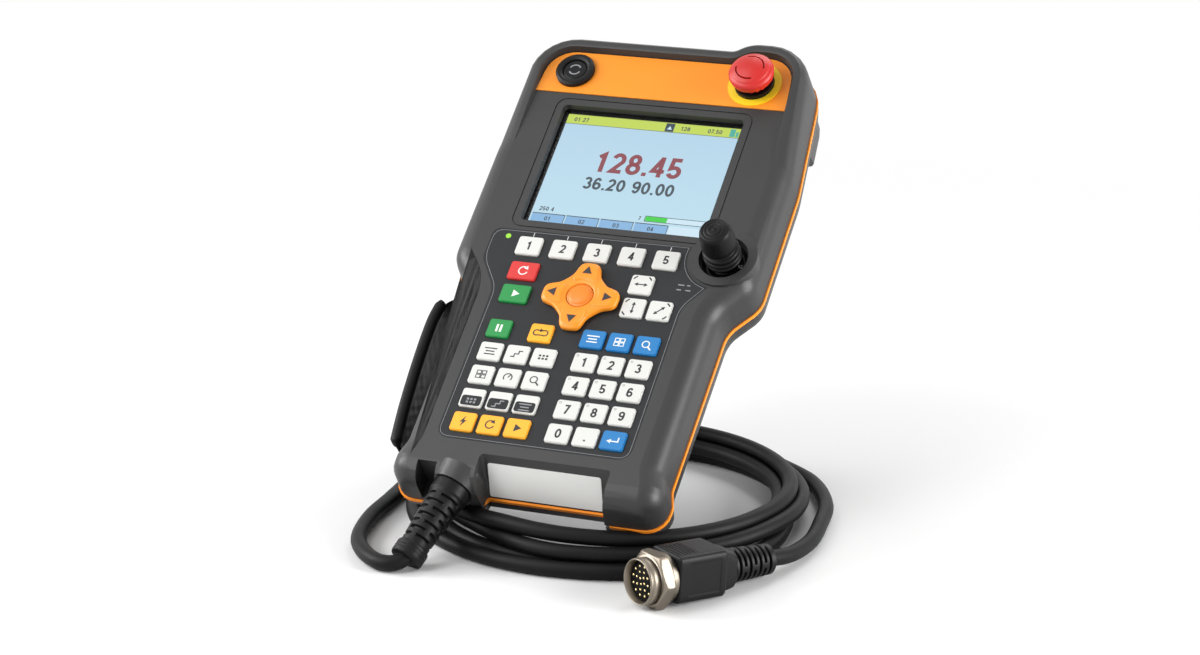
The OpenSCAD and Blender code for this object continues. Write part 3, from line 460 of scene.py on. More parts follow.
PLUG_AT = np.array([103.0, -44.0, 18.8])
PLUG_TURN, PLUG_TILT = math.radians(57), math.radians(3.9)
PLUG_DIR = np.array([math.cos(PLUG_TURN) * math.cos(PLUG_TILT),
                     math.sin(PLUG_TURN) * math.cos(PLUG_TILT), -math.sin(PLUG_TILT)])
PLUG_LENGTH = 105.0
PLUG_X = np.array([-math.sin(PLUG_TILT) * math.cos(PLUG_TURN), -math.sin(PLUG_TILT) * math.sin(PLUG_TURN),
                   -math.cos(PLUG_TILT)])
PLUG_Y = np.array([-math.sin(PLUG_TURN), math.cos(PLUG_TURN), 0.0])
PIN_RINGS = ((4, 2.6), (8, 6.2), (12, 9.8))
INSERT_FACE = 4.2
NUT_HALF, BODY_HALF, BODY_RISE = 17.5, 16.0, 1.5


def on_plug(points):
    """Points along the plug's own axes, in millimetres, placed in the frame in metres."""
    return (PLUG_AT + np.asarray(points, float) @ np.stack([PLUG_X, PLUG_Y, PLUG_DIR])) * MM


def plug_piece(name, shape, finish, node):
    """Piece of the connector in place of a CAD node."""
    stand_in(name, (on_plug(shape[0]), shape[1]), finish, "pendant", node)


class PENDANT_OT_connector(bpy.types.Operator):
    """Makes the connector: nose, contacts, nut, ridged body and slotted boot"""

    bl_idname = "pendant.connector"
    bl_label = "Connector"

    def execute(self, context):
        turn = np.linspace(0, 2 * np.pi, 192, endpoint=False)[None]
        even = np.ones_like(turn)

        # Nose: a ring whose rows run along the outside and back along the bore
        nose = np.array([[0.3, 15.0], [0.8, 15.3], [1.6, 15.3], [1.9, 15.0], [2.4, 15.0], [2.7, 15.3],
                         [7.4, 15.3], [7.6, 14.6], [22, 14.6], [22, 13.2], [3.2, 13.2], [2.4, 13.6],
                         [0.3, 14.1], [0, 14.4], [0, 14.7]])
        plug_piece("nose", round_solid(nose[:, 1:] * even, nose[:, 0], ring=True), "nickel", "plug_shell")

        # Nut: hexagon NUT_HALF / cos(a) from flat to corner, chamfered by cones at both faces, and a flange
        flat = (turn + np.pi / 6) % (np.pi / 3) - np.pi / 6
        hexagon = NUT_HALF / np.cos(flat)
        height = np.array([8, 8, 8.6, 9.4, 10.2, 15.2, 16.0, 16.8,
                           17.3, 17.3, 17.5, 21.2, 21.6, 21.8, 21.8, 8])
        cone = np.array([14.9, 17.0, 18.2, 19.5, 21, 21, 19.5, 18.2,
                         17.2, 16.4, 16.4, 16.4, 16.2, 15.6, 14.9, 14.9])
        radius = np.where(height[:, None] < 17.4, np.minimum(hexagon, cone[:, None]), cone[:, None])
        plug_piece("nut", round_solid(radius, height, ring=True), "nickel", "plug_nut")

        # Insert with its contacts: low domes on a dark face
        insert = revolve([[0, INSERT_FACE], [12.4, INSERT_FACE], [12.9, INSERT_FACE + 0.6], [13.1, 20],
                          [0, 20]], 96)
        plug_piece("insert", insert, "contact_insert", "plug_insert")
        pin, faces = revolve([[0, 3.5], [0.45, 3.6], [0.8, 3.9], [0.85, 4.3], [0.85, 5], [0, 5]], 16)
        points, all_faces = [], []
        for count, distance in PIN_RINGS:
            for k in range(count):
                at = 2 * math.pi * (k + 0.3) / count
                all_faces += [[v + len(points) * len(pin) for v in face] for face in faces]
                points.append(pin + [distance * math.cos(at), distance * math.sin(at), 0])
        mesh_piece("contacts", on_plug(np.vstack(points)), all_faces, FINISH["contact_gold"], "pendant")

        # Body: |x|^9 + |y|^9 = half^9, with ridges across the top and a sunk panel on each side
        height = np.concatenate([np.arange(22, 60, 0.35), np.arange(60, 71, 0.5), [71.2]])[:, None]
        half = np.interp(height, [22, 22.8, 58, 59.6, 61, 70, 71.2],
                         [BODY_HALF - 0.8, BODY_HALF, BODY_HALF, BODY_HALF - 0.8, 13.6, 12.2, 11.4])
        power = np.interp(height, [22, 60, 71], [9, 9, 4])
        radius = half / (np.abs(np.cos(turn)) ** power + np.abs(np.sin(turn)) ** power) ** (1 / power)
        x, y = radius * np.cos(turn), radius * np.sin(turn)
        top = ramp((np.abs(x) / half - 0.9) / 0.05) * (x < 0)
        across = ramp((10.5 - np.abs(y)) / 0.6)
        ridges = ramp((height - 24.4) / 0.4) * ramp((39 - height) / 0.4)
        ridges = ridges * (np.sin((height - 24.4) * 2.2) > 0)
        side = ramp((np.abs(y) / half - 0.9) / 0.05)
        panel = ramp((height - 29) / 0.8) * ramp((55 - height) / 0.8) * ramp((11.4 - np.abs(x)) / 0.8)
        radius = radius - 1.1 * top * across * ridges - 0.3 * side * panel
        points, faces = round_solid(radius, height[:, 0])
        points[:, 0] -= BODY_RISE * ramp((72 - points[:, 2]) / 14)
        plug_piece("body", (points, faces), "black_plastic", "plug_body")

        # Boot
        height = np.arange(70.8, 105.1, 0.2)[:, None]
        radius = np.interp(height, [70.8, 71.4, 104.2, 105], [11.2, 11.7, 10.2, 9.4])
        radius = radius - 2.6 * slots(height, turn, 73.5, 4.2, 7, 1)
        plug_piece("boot", round_solid(radius, height[:, 0]), "black_plastic", "plug_boot")
        return {"FINISHED"}


# ---------- cord ----------

LEAD_START = [-60.4, -30.5, 12.8]
LEAD_ROUTE = [[-66, -40, 7], [-78, -43, 6], [-96, -30, 6], [-112, -6, 6], [-122, 32, 6],
              [-125, 70, 6]]
TAIL_ROUTE = [[168, 66, 8], [171, 98, 6], [167, 132, 6], [158, 172, 6], [135, 212, 6], [98, 242, 6]]
# How far the line runs on inside the strain relief and the connector's boot
INSIDE = 14

COIL_CENTRE = np.array([16.0, 123.0])
# (radius, height) of the five turns, from the one the lead climbs to down to the last, and
# of the way outside them that the lead and the tail take
COIL_LAYERS = np.array([[119.6, 21.5], [126.8, 13.45], [112.4, 13.45], [119.6, 5.6], [134.0, 5.6]])
OUTSIDE = [147.5, 5.6]
# Angles over which the cord moves from one layer to the next, and the full turns before each
COIL_CHANGES = np.array([[175, 105], [-130, -178], [-82, -125], [-35, -78], [10, -32], [90, 40]])
FULL_TURNS = np.array([0, 0, 1, 2, 3, 4])
CLIMB, BULGE = 7.0, 0.06
COIL_STEP, LINE_STEP = 3.6, 7


def coil_turns():
    """Centreline of the turns, clockwise from the lead's side. Radius and height go from one
    layer to the next by ramp(s) over the share s of each change, and the first change also
    climbs over the outer turns, by CLIMB * sin(pi * s). On the right the coil is wider by
    the share BULGE."""
    start, end = (COIL_CHANGES[0, 0] - COIL_CHANGES + 360 * FULL_TURNS[:, None]).T
    angle = np.arange(0, start[5] + 12, COIL_STEP)
    stops = np.array([OUTSIDE, *COIL_LAYERS.tolist(), OUTSIDE])
    share = np.clip((angle[:, None] - start) / (end - start), 0, 1)
    place = stops[0] + ramp(share) @ np.diff(stops, axis=0)
    place[:, 1] += CLIMB * np.sin(np.pi * share[:, 0])
    turn = np.radians(COIL_CHANGES[0, 0] - angle)
    x, y = place[:, 0] * np.cos(turn), place[:, 0] * np.sin(turn)
    return np.stack([COIL_CENTRE[0] + x + BULGE * np.maximum(x, 0), COIL_CENTRE[1] + y, place[:, 1]], 1)


def settle(line, thick, rounds):
    """Moves stretches that lie in each other apart, half the overlap each, and smooths the
    moves along the cord. Both ends stay where they are, and nothing goes below the floor."""
    apart = np.abs(np.subtract.outer(np.arange(len(line)), np.arange(len(line)))) > 8
    moved = np.zeros_like(line)
    for _ in range(rounds):
        now = line + moved
        gap = now[:, None] - now[None]
        far = np.linalg.norm(gap, axis=2) + 1e-9
        press = np.where(apart & (far < thick), (thick - far) / far, 0)
        touching = np.maximum((press > 0).sum(1), 1)
        moved += 0.6 * (press[:, :, None] * gap).sum(1) / touching[:, None]
        moved[1:-1] = 0.5 * moved[1:-1] + 0.25 * (moved[:-2] + moved[2:])
        moved[:, 2] = np.maximum(line[:, 2] + moved[:, 2], thick / 2) - line[:, 2]
        moved[:12] = moved[-12:] = 0
    return line + moved


class PENDANT_OT_cord(bpy.types.Operator):
    """Makes the cord along its whole route, from the boot round the coil to the connector"""

    bl_idname = "pendant.cord"
    bl_label = "Cord"

    def execute(self, context):
        cord = context.scene.pendant_cord
        thick = cord.diameter / MM
        tail_start = PLUG_AT + PLUG_LENGTH * PLUG_DIR
        boot_way = GLAND_AXES[2] @ FACE_AXES
        lead = smooth_line([LEAD_START - INSIDE * boot_way, LEAD_START, *LEAD_ROUTE], LINE_STEP)
        tail = smooth_line([*TAIL_ROUTE[::-1], tail_start, tail_start - INSIDE * PLUG_DIR], LINE_STEP)
        line = smooth_line(np.vstack([lead, coil_turns(), tail]), LINE_STEP)
        line = settle(line, thick, cord.settling)
        line = smooth_line(line, LINE_STEP / 2) * MM
        piece = stand_in("cord", tube(line, cord.diameter / 2, 24), "cord_rubber", "pendant",
                         "cable_lead", "cable_coil", "cable_tail")
        tuple(line[0])
        return {"FINISHED"}


# ---------- CAD nodes ----------


class PENDANT_OT_finish_nodes(bpy.types.Operator):
    """Gives every CAD node its finish"""

    bl_idname = "pendant.finish_nodes"
    bl_label = "Finishes"

    def execute(self, context):
        slots = {part["node"]: part["material_slot"] for part in frame["record"]["subparts"]}
        for name, node in NODES.items():
            material = FINISH.get(slots[name], FINISH["black_plastic"])
            node.data.materials.clear()
            node.data.materials.append(material)
            node.data.polygons.foreach_set("use_smooth", np.full(len(node.data.polygons), True))
            # Shading runs smoothly over edges flatter than 30 degrees and breaks at the others
            node.modifiers.new("join", "WELD").merge_threshold = 0.00001
            node.modifiers.new("edges", "EDGE_SPLIT").split_angle = math.radians(30)
            node.modifiers.new("shading", "WEIGHTED_NORMAL").keep_sharp = True
        # The last key of the bottom row is blue
        mesh = NODES["keys_right_4"].data
        mesh.materials.append(FINISH["key_blue"])
        centres = np.empty(3 * len(mesh.polygons))
        mesh.polygons.foreach_get("center", centres)
        last = centres.reshape(-1, 3)[:, 0] > (KEY_ROWS["keys_right_4"][0] + 1.5 * PITCH_X) * MM
        mesh.polygons.foreach_set("material_index", last.astype(int))
        return {"FINISHED"}


# ---------- places on the face, in millimetres ----------

STICK_AT, PAD_AT, BUTTON_AT = (86.4, 1.5), (-3, -45), (-70, 151)
SCREEN_AT, SCREEN_SIZE = (-66.3, 20), (130.6, 98)
SCREEN_LEVEL = -6.4
KEY_TOP, BUTTON_TOP = 1.7, 3.5
PITCH_X, PITCH_Y = 19.5, 19.3
FUNCTION_KEYS = [(-54.4 + 25.4 * k, -6) for k in range(5)]
SINGLE_KEYS = {f"key_f{k + 1}": at for k, at in enumerate(FUNCTION_KEYS)}
SINGLE_KEYS.update(key_reset=(-51.6, -27.5), key_start=(-51.3, -47.1), key_hold=(-53, -76.9),
                   key_loop=(-22.2, -76.9), key_x=(35.8, -28.4), key_y=(35.8, -48), key_z=(54.9, -48))
KEY_ROWS = {"keys_blue": (15.7, -77)}
KEY_ROWS.update({f"keys_left_{k + 1}": (-53, -96.3 - PITCH_Y * k) for k in range(4)})
KEY_ROWS.update({f"keys_right_{k + 1}": (15.7, -96.3 - PITCH_Y * k) for k in range(4)})


def arc(centre, radius, first, last, count=16):
    """Points of a circular arc, with its angles in degrees."""
    turn = np.radians(np.linspace(first, last, count))
    return np.array(centre) + radius * np.stack([np.cos(turn), np.sin(turn)], 1)


def rounded(corners, radius, steps=6):
    """Anticlockwise outline through the corners, each rounded by a quadratic curve."""
    c = np.array(corners, float)
    back, ahead = np.roll(c, 1, 0) - c, np.roll(c, -1, 0) - c
    back *= (radius / np.linalg.norm(back, axis=1))[:, None]
    ahead *= (radius / np.linalg.norm(ahead, axis=1))[:, None]
    t = np.linspace(0, 1, steps + 1)[None, :, None]
    return (c[:, None] + back[:, None] * (1 - t) ** 2 + ahead[:, None] * t ** 2).reshape(-1, 2)


def box_outline(x0, y0, x1, y1, radius=0.0):
    """Outline of a rectangle, with its corners rounded if a radius is given."""
    corners = [[x0, y0], [x1, y0], [x1, y1], [x0, y1]]
    return rounded(corners, radius) if radius else np.array(corners, float)


def oval(x, y, wide, high, first=0, last=352, count=20):
    """Points of an elliptical arc: centre + (wide * cos a, high * sin a)."""
    return arc((0, 0), 1, first, last, count) * [wide, high] + [x, y]


# Widths of a figure's place and of its stroke, as shares of its height
FIGURE_WIDTH, FIGURE_STROKE = 0.68, 0.185
ADVANCE = {".": 0.34, " ": 0.42}
# Centre lines of the figures, one unit high, each with whether it closes on itself
SIX = [(oval(0, 0.31, 0.21, 0.225), True),
       ([*oval(0, 0.5, 0.21, 0.415, 38, 180, 10), (-0.21, 0.34)], False)]
STROKES = {
    "0": [(oval(0, 0.5, 0.21, 0.415), True)],
    "1": [([(-0.15, 0.73), (0.05, 0.88), (0.05, 0)], False)],
    "2": [([*oval(0, 0.68, 0.2, 0.235, 165, -28, 14), (-0.19, 0.09), (0.23, 0.09)], False)],
    "3": [(oval(-0.01, 0.71, 0.18, 0.205, 160, -90, 16), False),
          (oval(0, 0.295, 0.21, 0.21, 90, -160, 16), False)],
    "4": [([(0.1, 0), (0.1, 1)], False), ([(0.08, 0.9), (-0.2, 0.29), (0.28, 0.29)], False)],
    "5": [([(0.2, 0.915), (-0.14, 0.915), (-0.17, 0.48), *oval(0, 0.31, 0.21, 0.225, 110, -160, 16)],
           False)],
    "6": SIX,
    "7": [([(-0.23, 0.915), (0.19, 0.915), (-0.09, 0)], False)],
    "8": [(oval(0, 0.71, 0.175, 0.205), True), (oval(0, 0.295, 0.21, 0.21), True)],
    "9": [([(-x, 1 - y) for x, y in route], closed) for route, closed in SIX],
    ".": [([(0, 0), (0, 0.17)], False)],
}


class Print:
    """Thin flat shapes on the face, gathered into one mesh. Lengths are in millimetres."""

    def __init__(self, level, height=0.05):
        self.low, self.high = level - height, level + height
        self.points, self.faces, self.inks = [], [], []
        self.count = 0

    def add(self, points, faces, ink):
        """Adds a closed shape."""
        self.faces += [[self.count + k for k in face] for face in faces]
        self.inks += [ink] * len(faces)
        self.points.append(points)
        self.count += len(points)

    def area(self, outline, ink, lift=0.0):
        """Filled outline."""
        n = len(outline)
        points = [np.column_stack([outline, np.full(n, z)]) for z in (self.low, self.high + lift)]
        self.add(np.vstack(points), capped(2, n), ink)

    def line(self, route, width, ink, closed=False, lift=0.0):
        """Line of even width: its edges lie width / 2 to each side of the route."""
        route = np.array(route, float)
        ahead = np.roll(route, -1, 0) - route
        back = route - np.roll(route, 1, 0)
        if not closed:
            ahead[-1], back[0] = back[-1], ahead[0]
        ahead /= np.linalg.norm(ahead, axis=1)[:, None]
        back /= np.linalg.norm(back, axis=1)[:, None]
        side = np.stack([-(ahead + back)[:, 1], (ahead + back)[:, 0]], 1)
        side *= (width / np.maximum((side ** 2).sum(1), 0.8))[:, None]
        rows = [np.column_stack([route + side * k, np.full(len(route), z)])
                for k, z in ((1, self.low), (1, self.high + lift), (-1, self.high + lift), (-1, self.low))]
        n = len(route)
        faces = grid_faces(4, n, wrap_rows=True, wrap_columns=closed).tolist()
        if not closed:
            faces += [[0, n, 2 * n, 3 * n], [4 * n - 1, 3 * n - 1, 2 * n - 1, n - 1]]
        self.add(np.vstack(rows), faces, ink)

    def figures(self, digits, at, height, ink, lift=0.0):
        """Digits, points and spaces in even strokes, centred on a place."""
        x = at[0] - sum(ADVANCE.get(c, FIGURE_WIDTH) for c in digits) * height / 2
        for c in digits:
            step = ADVANCE.get(c, FIGURE_WIDTH) * height
            corner = np.array([x + step / 2, at[1] - height / 2])
            for route, closed in STROKES.get(c, ()):
                self.line(corner + np.array(route) * height, FIGURE_STROKE * height, ink, closed, lift)
            x += step

    def make(self, name, body):
        """Makes the piece, with a material for each ink."""
        inks = sorted(set(self.inks))
        piece = mesh_piece(name, posed(np.vstack(self.points)), self.faces,
                           [FINISH[ink] for ink in inks], body, smooth=False)
        piece.data.polygons.foreach_set("material_index", [inks.index(ink) for ink in self.inks])


# ---------- symbols on the keys, within about 5 mm of a centre ----------


def triangle(mark, at, size, turn, ink):
    """Filled triangle that points at an angle in degrees."""
    mark.area(arc(at, size, turn, turn + 240, 3), ink)


def arrow(mark, at, length, turn, ink, both=False):
    """Straight arrow through a place."""
    way = np.array([math.cos(math.radians(turn)), math.sin(math.radians(turn))])
    end = np.array(at) + way * length / 2
    start = np.array(at) - way * length / 2
    mark.line([start + way * (1.6 if both else 0), end - way * 1.6], 0.9, ink)
    triangle(mark, end - way * 1.3, 1.7, turn, ink)
    if both:
        triangle(mark, start + way * 1.3, 1.7, turn + 180, ink)


def round_arrow(mark, at, ink, radius=3):
    """Arrow that turns on itself."""
    mark.line(arc(at, radius, 60, 345, 24), 0.9, ink)
    triangle(mark, np.array(at) + arc((0, 0), radius, 50, 50, 1)[0], 1.9, -45, ink)


def play(mark, at, ink):
    """Triangle that points to the right."""
    triangle(mark, at, 3.4, 0, ink)


def pause(mark, at, ink):
    """Two upright bars."""
    for side in (-2.2, 0.6):
        mark.area(box_outline(at[0] + side, at[1] - 3, at[0] + side + 1.6, at[1] + 3), ink)


def loop(mark, at, ink):
    """Long ring with an arrow head on it."""
    x, y = at
    ring = [*arc((x - 3, y), 2.2, 60, 300, 12), *arc((x + 3, y), 2.2, -120, 120, 12)]
    mark.line(ring, 0.9, ink, closed=True)
    triangle(mark, (x, y + 1.95), 1.8, 0, ink)


def lines(mark, at, ink):
    """Three level bars."""
    for k, width in enumerate((9, 6.4, 7.8)):
        y = at[1] + 2.4 - 2.4 * k
        mark.area(box_outline(at[0] - width / 2, y - 0.45, at[0] + width / 2, y + 0.45), ink)


def bolt(mark, at, ink):
    """Lightning flash."""
    shape = np.array([[0.9, 4.4], [-2.3, -0.7], [-0.4, -0.5], [-1.3, -4.4], [2.4, 1], [0.4, 0.8]])
    mark.area(shape + at, ink)


def lens(mark, at, ink):
    """Magnifying glass."""
    mark.line(arc(np.array(at) + [-0.7, 0.7], 2.5, 0, 345, 24), 0.8, ink, closed=True)
    mark.line([np.array(at) + [1.2, -1.2], np.array(at) + [3.6, -3.6]], 1.1, ink)


def panes(mark, at, ink):
    """Four panes."""
    for k in range(4):
        corner = np.array(at) + [(-3.4, 0.4)[k % 2], (-3, 0.4)[k // 2]]
        mark.line(box_outline(*corner, *(corner + [3, 2.6])), 0.6, ink, closed=True)


def enter(mark, at, ink):
    """Bent arrow that points to the left."""
    x, y = at
    mark.line([[x + 3.6, y + 2.6], [x + 3.6, y - 0.8], [x - 2, y - 0.8]], 0.9, ink)
    triangle(mark, (x - 2.4, y - 0.8), 2, 180, ink)


def steps(mark, at, ink):
    """Stairs of three treads."""
    x, y = at
    mark.line([[x - 4, y - 2.2], [x - 1.4, y - 2.2], [x - 1.4, y + 0.2], [x + 1.4, y + 0.2],
               [x + 1.4, y + 2.6], [x + 4, y + 2.6]], 0.8, ink)


def dial(mark, at, ink):
    """Open dial with its hand."""
    mark.line(arc(at, 3, -40, 220, 20), 0.8, ink)
    mark.line([np.array(at), np.array(at) + [1.5, 1.9]], 0.8, ink)


def dots(mark, at, ink):
    """Two rows of three square dots."""
    for k in range(6):
        mark.area(box_outline(at[0] - 3.4 + 2.6 * (k % 3), at[1] - 1.9 + 2.4 * (k // 3),
                              at[0] - 1.8 + 2.6 * (k % 3), at[1] - 0.4 + 2.4 * (k // 3)), ink)


def brackets(mark, at, turns, ink):
    """Short arcs near the corners of a key."""
    for turn in turns:
        mark.line(arc(at, 7.7, turn - 13, turn + 13, 6), 1.0, ink)


class PENDANT_OT_legends(bpy.types.Operator):
    """Prints the keys: digits, arrows and other plain symbols, each row riding on its key"""

    bl_idname = "pendant.legends"
    bl_label = "Key legends"

    def execute(self, context):
        marks = {name: Print(KEY_TOP) for name in [*SINGLE_KEYS, *KEY_ROWS]}
        for k, at in enumerate(FUNCTION_KEYS):
            marks[f"key_f{k + 1}"].figures(str(k + 1), at, 7, "ink_black")
        round_arrow(marks["key_reset"], SINGLE_KEYS["key_reset"], "ink_white", 3.2)
        for name, sign, ink in (("key_start", play, "ink_white"), ("key_hold", pause, "ink_white"),
                                ("key_loop", loop, "ink_black")):
            sign(marks[name], SINGLE_KEYS[name], ink)
        for name, turn, corners in (("key_x", 0, (45, 135)), ("key_y", 90, (135, 225)),
                                    ("key_z", 45, (45, -45))):
            arrow(marks[name], SINGLE_KEYS[name], 9, turn, "ink_black", both=True)
            brackets(marks[name], SINGLE_KEYS[name], corners, "ink_black")
        places = {row: [(x + PITCH_X * k, y) for k in range(3)] for row, (x, y) in KEY_ROWS.items()}
        for row, digits in (("keys_right_1", "123"), ("keys_right_2", "456"), ("keys_right_3", "789"),
                            ("keys_right_4", "0.")):
            for at, digit in zip(places[row], digits):
                marks[row].figures(digit, at, 7.2, "ink_black")
                if digit not in "0.":
                    corner = (at[0] - 5.9, at[1] + 4.9)
                    marks[row].line(arc(corner, 0.75, 0, 320, 9), 0.3, "ink_grey", closed=True)
        enter(marks["keys_right_4"], places["keys_right_4"][2], "ink_white")
        for row, signs, ink in (("keys_blue", (lines, panes, lens), "ink_white"),
                                ("keys_left_1", (lines, steps, dots), "ink_black"),
                                ("keys_left_2", (panes, dial, lens), "ink_black"),
                                ("keys_left_4", (bolt, round_arrow, play), "ink_black")):
            for at, sign in zip(places[row], signs):
                sign(marks[row], at, ink)
        # The third row's signs stand on dark fields in the lower part of the keys
        mark = marks["keys_left_3"]
        for at, sign in zip(places["keys_left_3"], (dots, steps, lines)):
            mark.area(box_outline(at[0] - 7.3, at[1] - 6.4, at[0] + 7.3, at[1] + 1.6, 2.2), "overlay_slate")
            mark.high += 0.02
            sign(mark, (at[0], at[1] - 2.6), "ink_grey")
            mark.high -= 0.02
        for name, mark in marks.items():
            mark.make("legend_" + name, name)
        # Two grey arcs on the button's cap: its turning-arrow symbol, and also a painted highlight of the
        # glossy ring round the cap
        mark = Print(BUTTON_TOP, 0.04)
        for turn in (30, 210):
            mark.line(arc(BUTTON_AT, 4.2, turn, turn + 130, 14), 1.0, "ink_grey")
        mark.make("button_symbol_and_highlight", "button_cap")
        return {"FINISHED"}


# Radius at which the edge line passes round the joystick's collar
COLLAR_R = 27.2
OVERLAY_CORNERS = [[-69.5, -167.3], [69.5, -167.3], [69, -43], [85.3, -19], [85.3, 7.8], [-85.3, 7.8],
                   [-85.3, -19], [-69, -43]]


class PENDANT_OT_overlay(bpy.types.Operator):
    """Prints the keypad overlay: the pale edge line, the ticks over the function keys and two
    faint marks beside the axis keys"""

    bl_idname = "pendant.overlay"
    bl_label = "Overlay print"

    def execute(self, context):
        mark = Print(0.0, 0.03)
        inward = np.array([[1, 1], [-1, 1], [-1, 0.3], [-1, 0.5], [-1, -1], [1, -1], [1, 0.5], [1, 0.3]])
        route = rounded(np.array(OVERLAY_CORNERS) + 1.3 * inward, 8, 8)
        # Near the joystick the line follows its collar
        clear = np.linalg.norm(route - STICK_AT, axis=1) > COLLAR_R
        clear &= ~((route[:, 0] > STICK_AT[0]) & (route[:, 1] > STICK_AT[1] - 16))
        first = int(np.argmin(clear))
        collar = arc(STICK_AT, COLLAR_R, 243, 168, 14)
        route = np.vstack([route[:first], collar, route[first:][clear[first:]]])
        mark.line(route, 0.28, "ink_grey", closed=True)
        for x, _ in FUNCTION_KEYS:
            mark.area(box_outline(x - 0.2, 2.8, x + 0.2, 6.2), "ink_white")
        for y, widths in ((-24.5, (4.5, 2.4)), (-28.6, (3.2, 3.6))):
            for k, width in enumerate(widths):
                x = 61 + 6.4 * k
                mark.area(box_outline(x, y, x + width, y + 0.9), "ink_grey")
        mark.make("overlay_print", "pendant")
        return {"FINISHED"}


class PENDANT_OT_display(bpy.types.Operator):
    """Lights the screen with a plain picture: bars, cells, a progress bar and numbers"""

    bl_idname = "pendant.display"
    bl_label = "Display picture"

    def execute(self, context):
        mark = Print(SCREEN_LEVEL + 0.05, 0.03)
        x0, y0 = SCREEN_AT
        wide, high = SCREEN_SIZE

        def patch(left, low, right, top, ink, lift=0.02):
            """Rectangle in millimetres from the screen's lower left corner."""
            mark.area(box_outline(x0 + left, y0 + low, x0 + right, y0 + top), ink, lift)

        patch(0, 0, wide, high, "screen_sky", 0)
        patch(0, high - 8.2, wide, high, "screen_lime")
        patch(0, high - 8.6, wide, high - 8.2, "screen_dark")
        patch(wide * 0.575, high - 8, wide * 0.625, high - 0.6, "screen_navy", 0.04)
        mark.area(arc((x0 + wide * 0.6, y0 + high - 5), 2.1, 90, 330, 3), "screen_white", 0.06)
        patch(wide * 0.945, high - 7.6, wide * 0.975, high - 0.8, "screen_teal", 0.04)
        patch(wide * 0.98, high - 7.6, wide * 0.995, high - 3, "screen_teal", 0.04)
        for digits, x in (("01 27", 11), ("128", wide * 0.69), ("07.50", wide * 0.86)):
            mark.figures(digits, (x0 + x, y0 + high - 4.3), 3.6, "screen_dark", 0.03)
        mark.figures("128.45", (x0 + wide * 0.5, y0 + 58), 18, "screen_maroon", 0.03)
        mark.figures("36.20 90.00", (x0 + wide * 0.49, y0 + 38.5), 10.5, "screen_dark", 0.03)
        # Soft key cells along the bottom, above the function keys
        cell = wide * 0.19
        for k in range(4):
            left = 1.2 + k * (cell + 0.9)
            patch(left, 0.5, left + cell, 8.6, "screen_cell")
            patch(left, 8.0, left + cell, 8.7, "screen_dark", 0.04)
            patch(left + cell - 0.5, 0.5, left + cell, 8.6, "screen_dark", 0.04)
            mark.figures(f"0{k + 1}", (x0 + left + cell / 2, y0 + 4.2), 3.6, "screen_dark", 0.04)
        patch(4 * cell + 4.6, 0.5, wide - 0.6, 8.2, "screen_white")
        # Progress bar and a line of status figures
        frame_line = box_outline(x0 + wide * 0.645, y0 + 10.4, x0 + wide - 1.4, y0 + 15)
        mark.line(frame_line, 0.5, "screen_dark", closed=True, lift=0.02)
        patch(wide * 0.648, 10.7, wide - 1.7, 14.7, "screen_white")
        patch(wide * 0.648, 10.7, wide * 0.77, 14.7, "screen_green", 0.04)
        mark.figures("7", (x0 + wide * 0.615, y0 + 12.6), 3.2, "screen_dark", 0.03)
        mark.figures("250 4", (x0 + 10.5, y0 + 12.6), 3.6, "screen_dark", 0.03)
        mark.make("display_picture", "pendant")
        return {"FINISHED"}


# ---------- controls ----------

PAD_REACH, PAD_WAIST = 27.7, 18.6
PAD_LOW, PAD_TOP, PAD_HOLE_R = 1.5, 6.0, 9.75


def off_axis(turn):
    """Angle to the nearest of the four lobes."""
    return np.abs((turn + np.pi / 4) % (np.pi / 2) - np.pi / 4)


def pad_outline(turn):
    """Radius of the pad: waist + (reach - waist) / (1 + (a / 0.37) ^ 5), a from the nearest lobe."""
    return PAD_WAIST + (PAD_REACH - PAD_WAIST) / (1 + (off_axis(turn) / 0.37) ** 5)


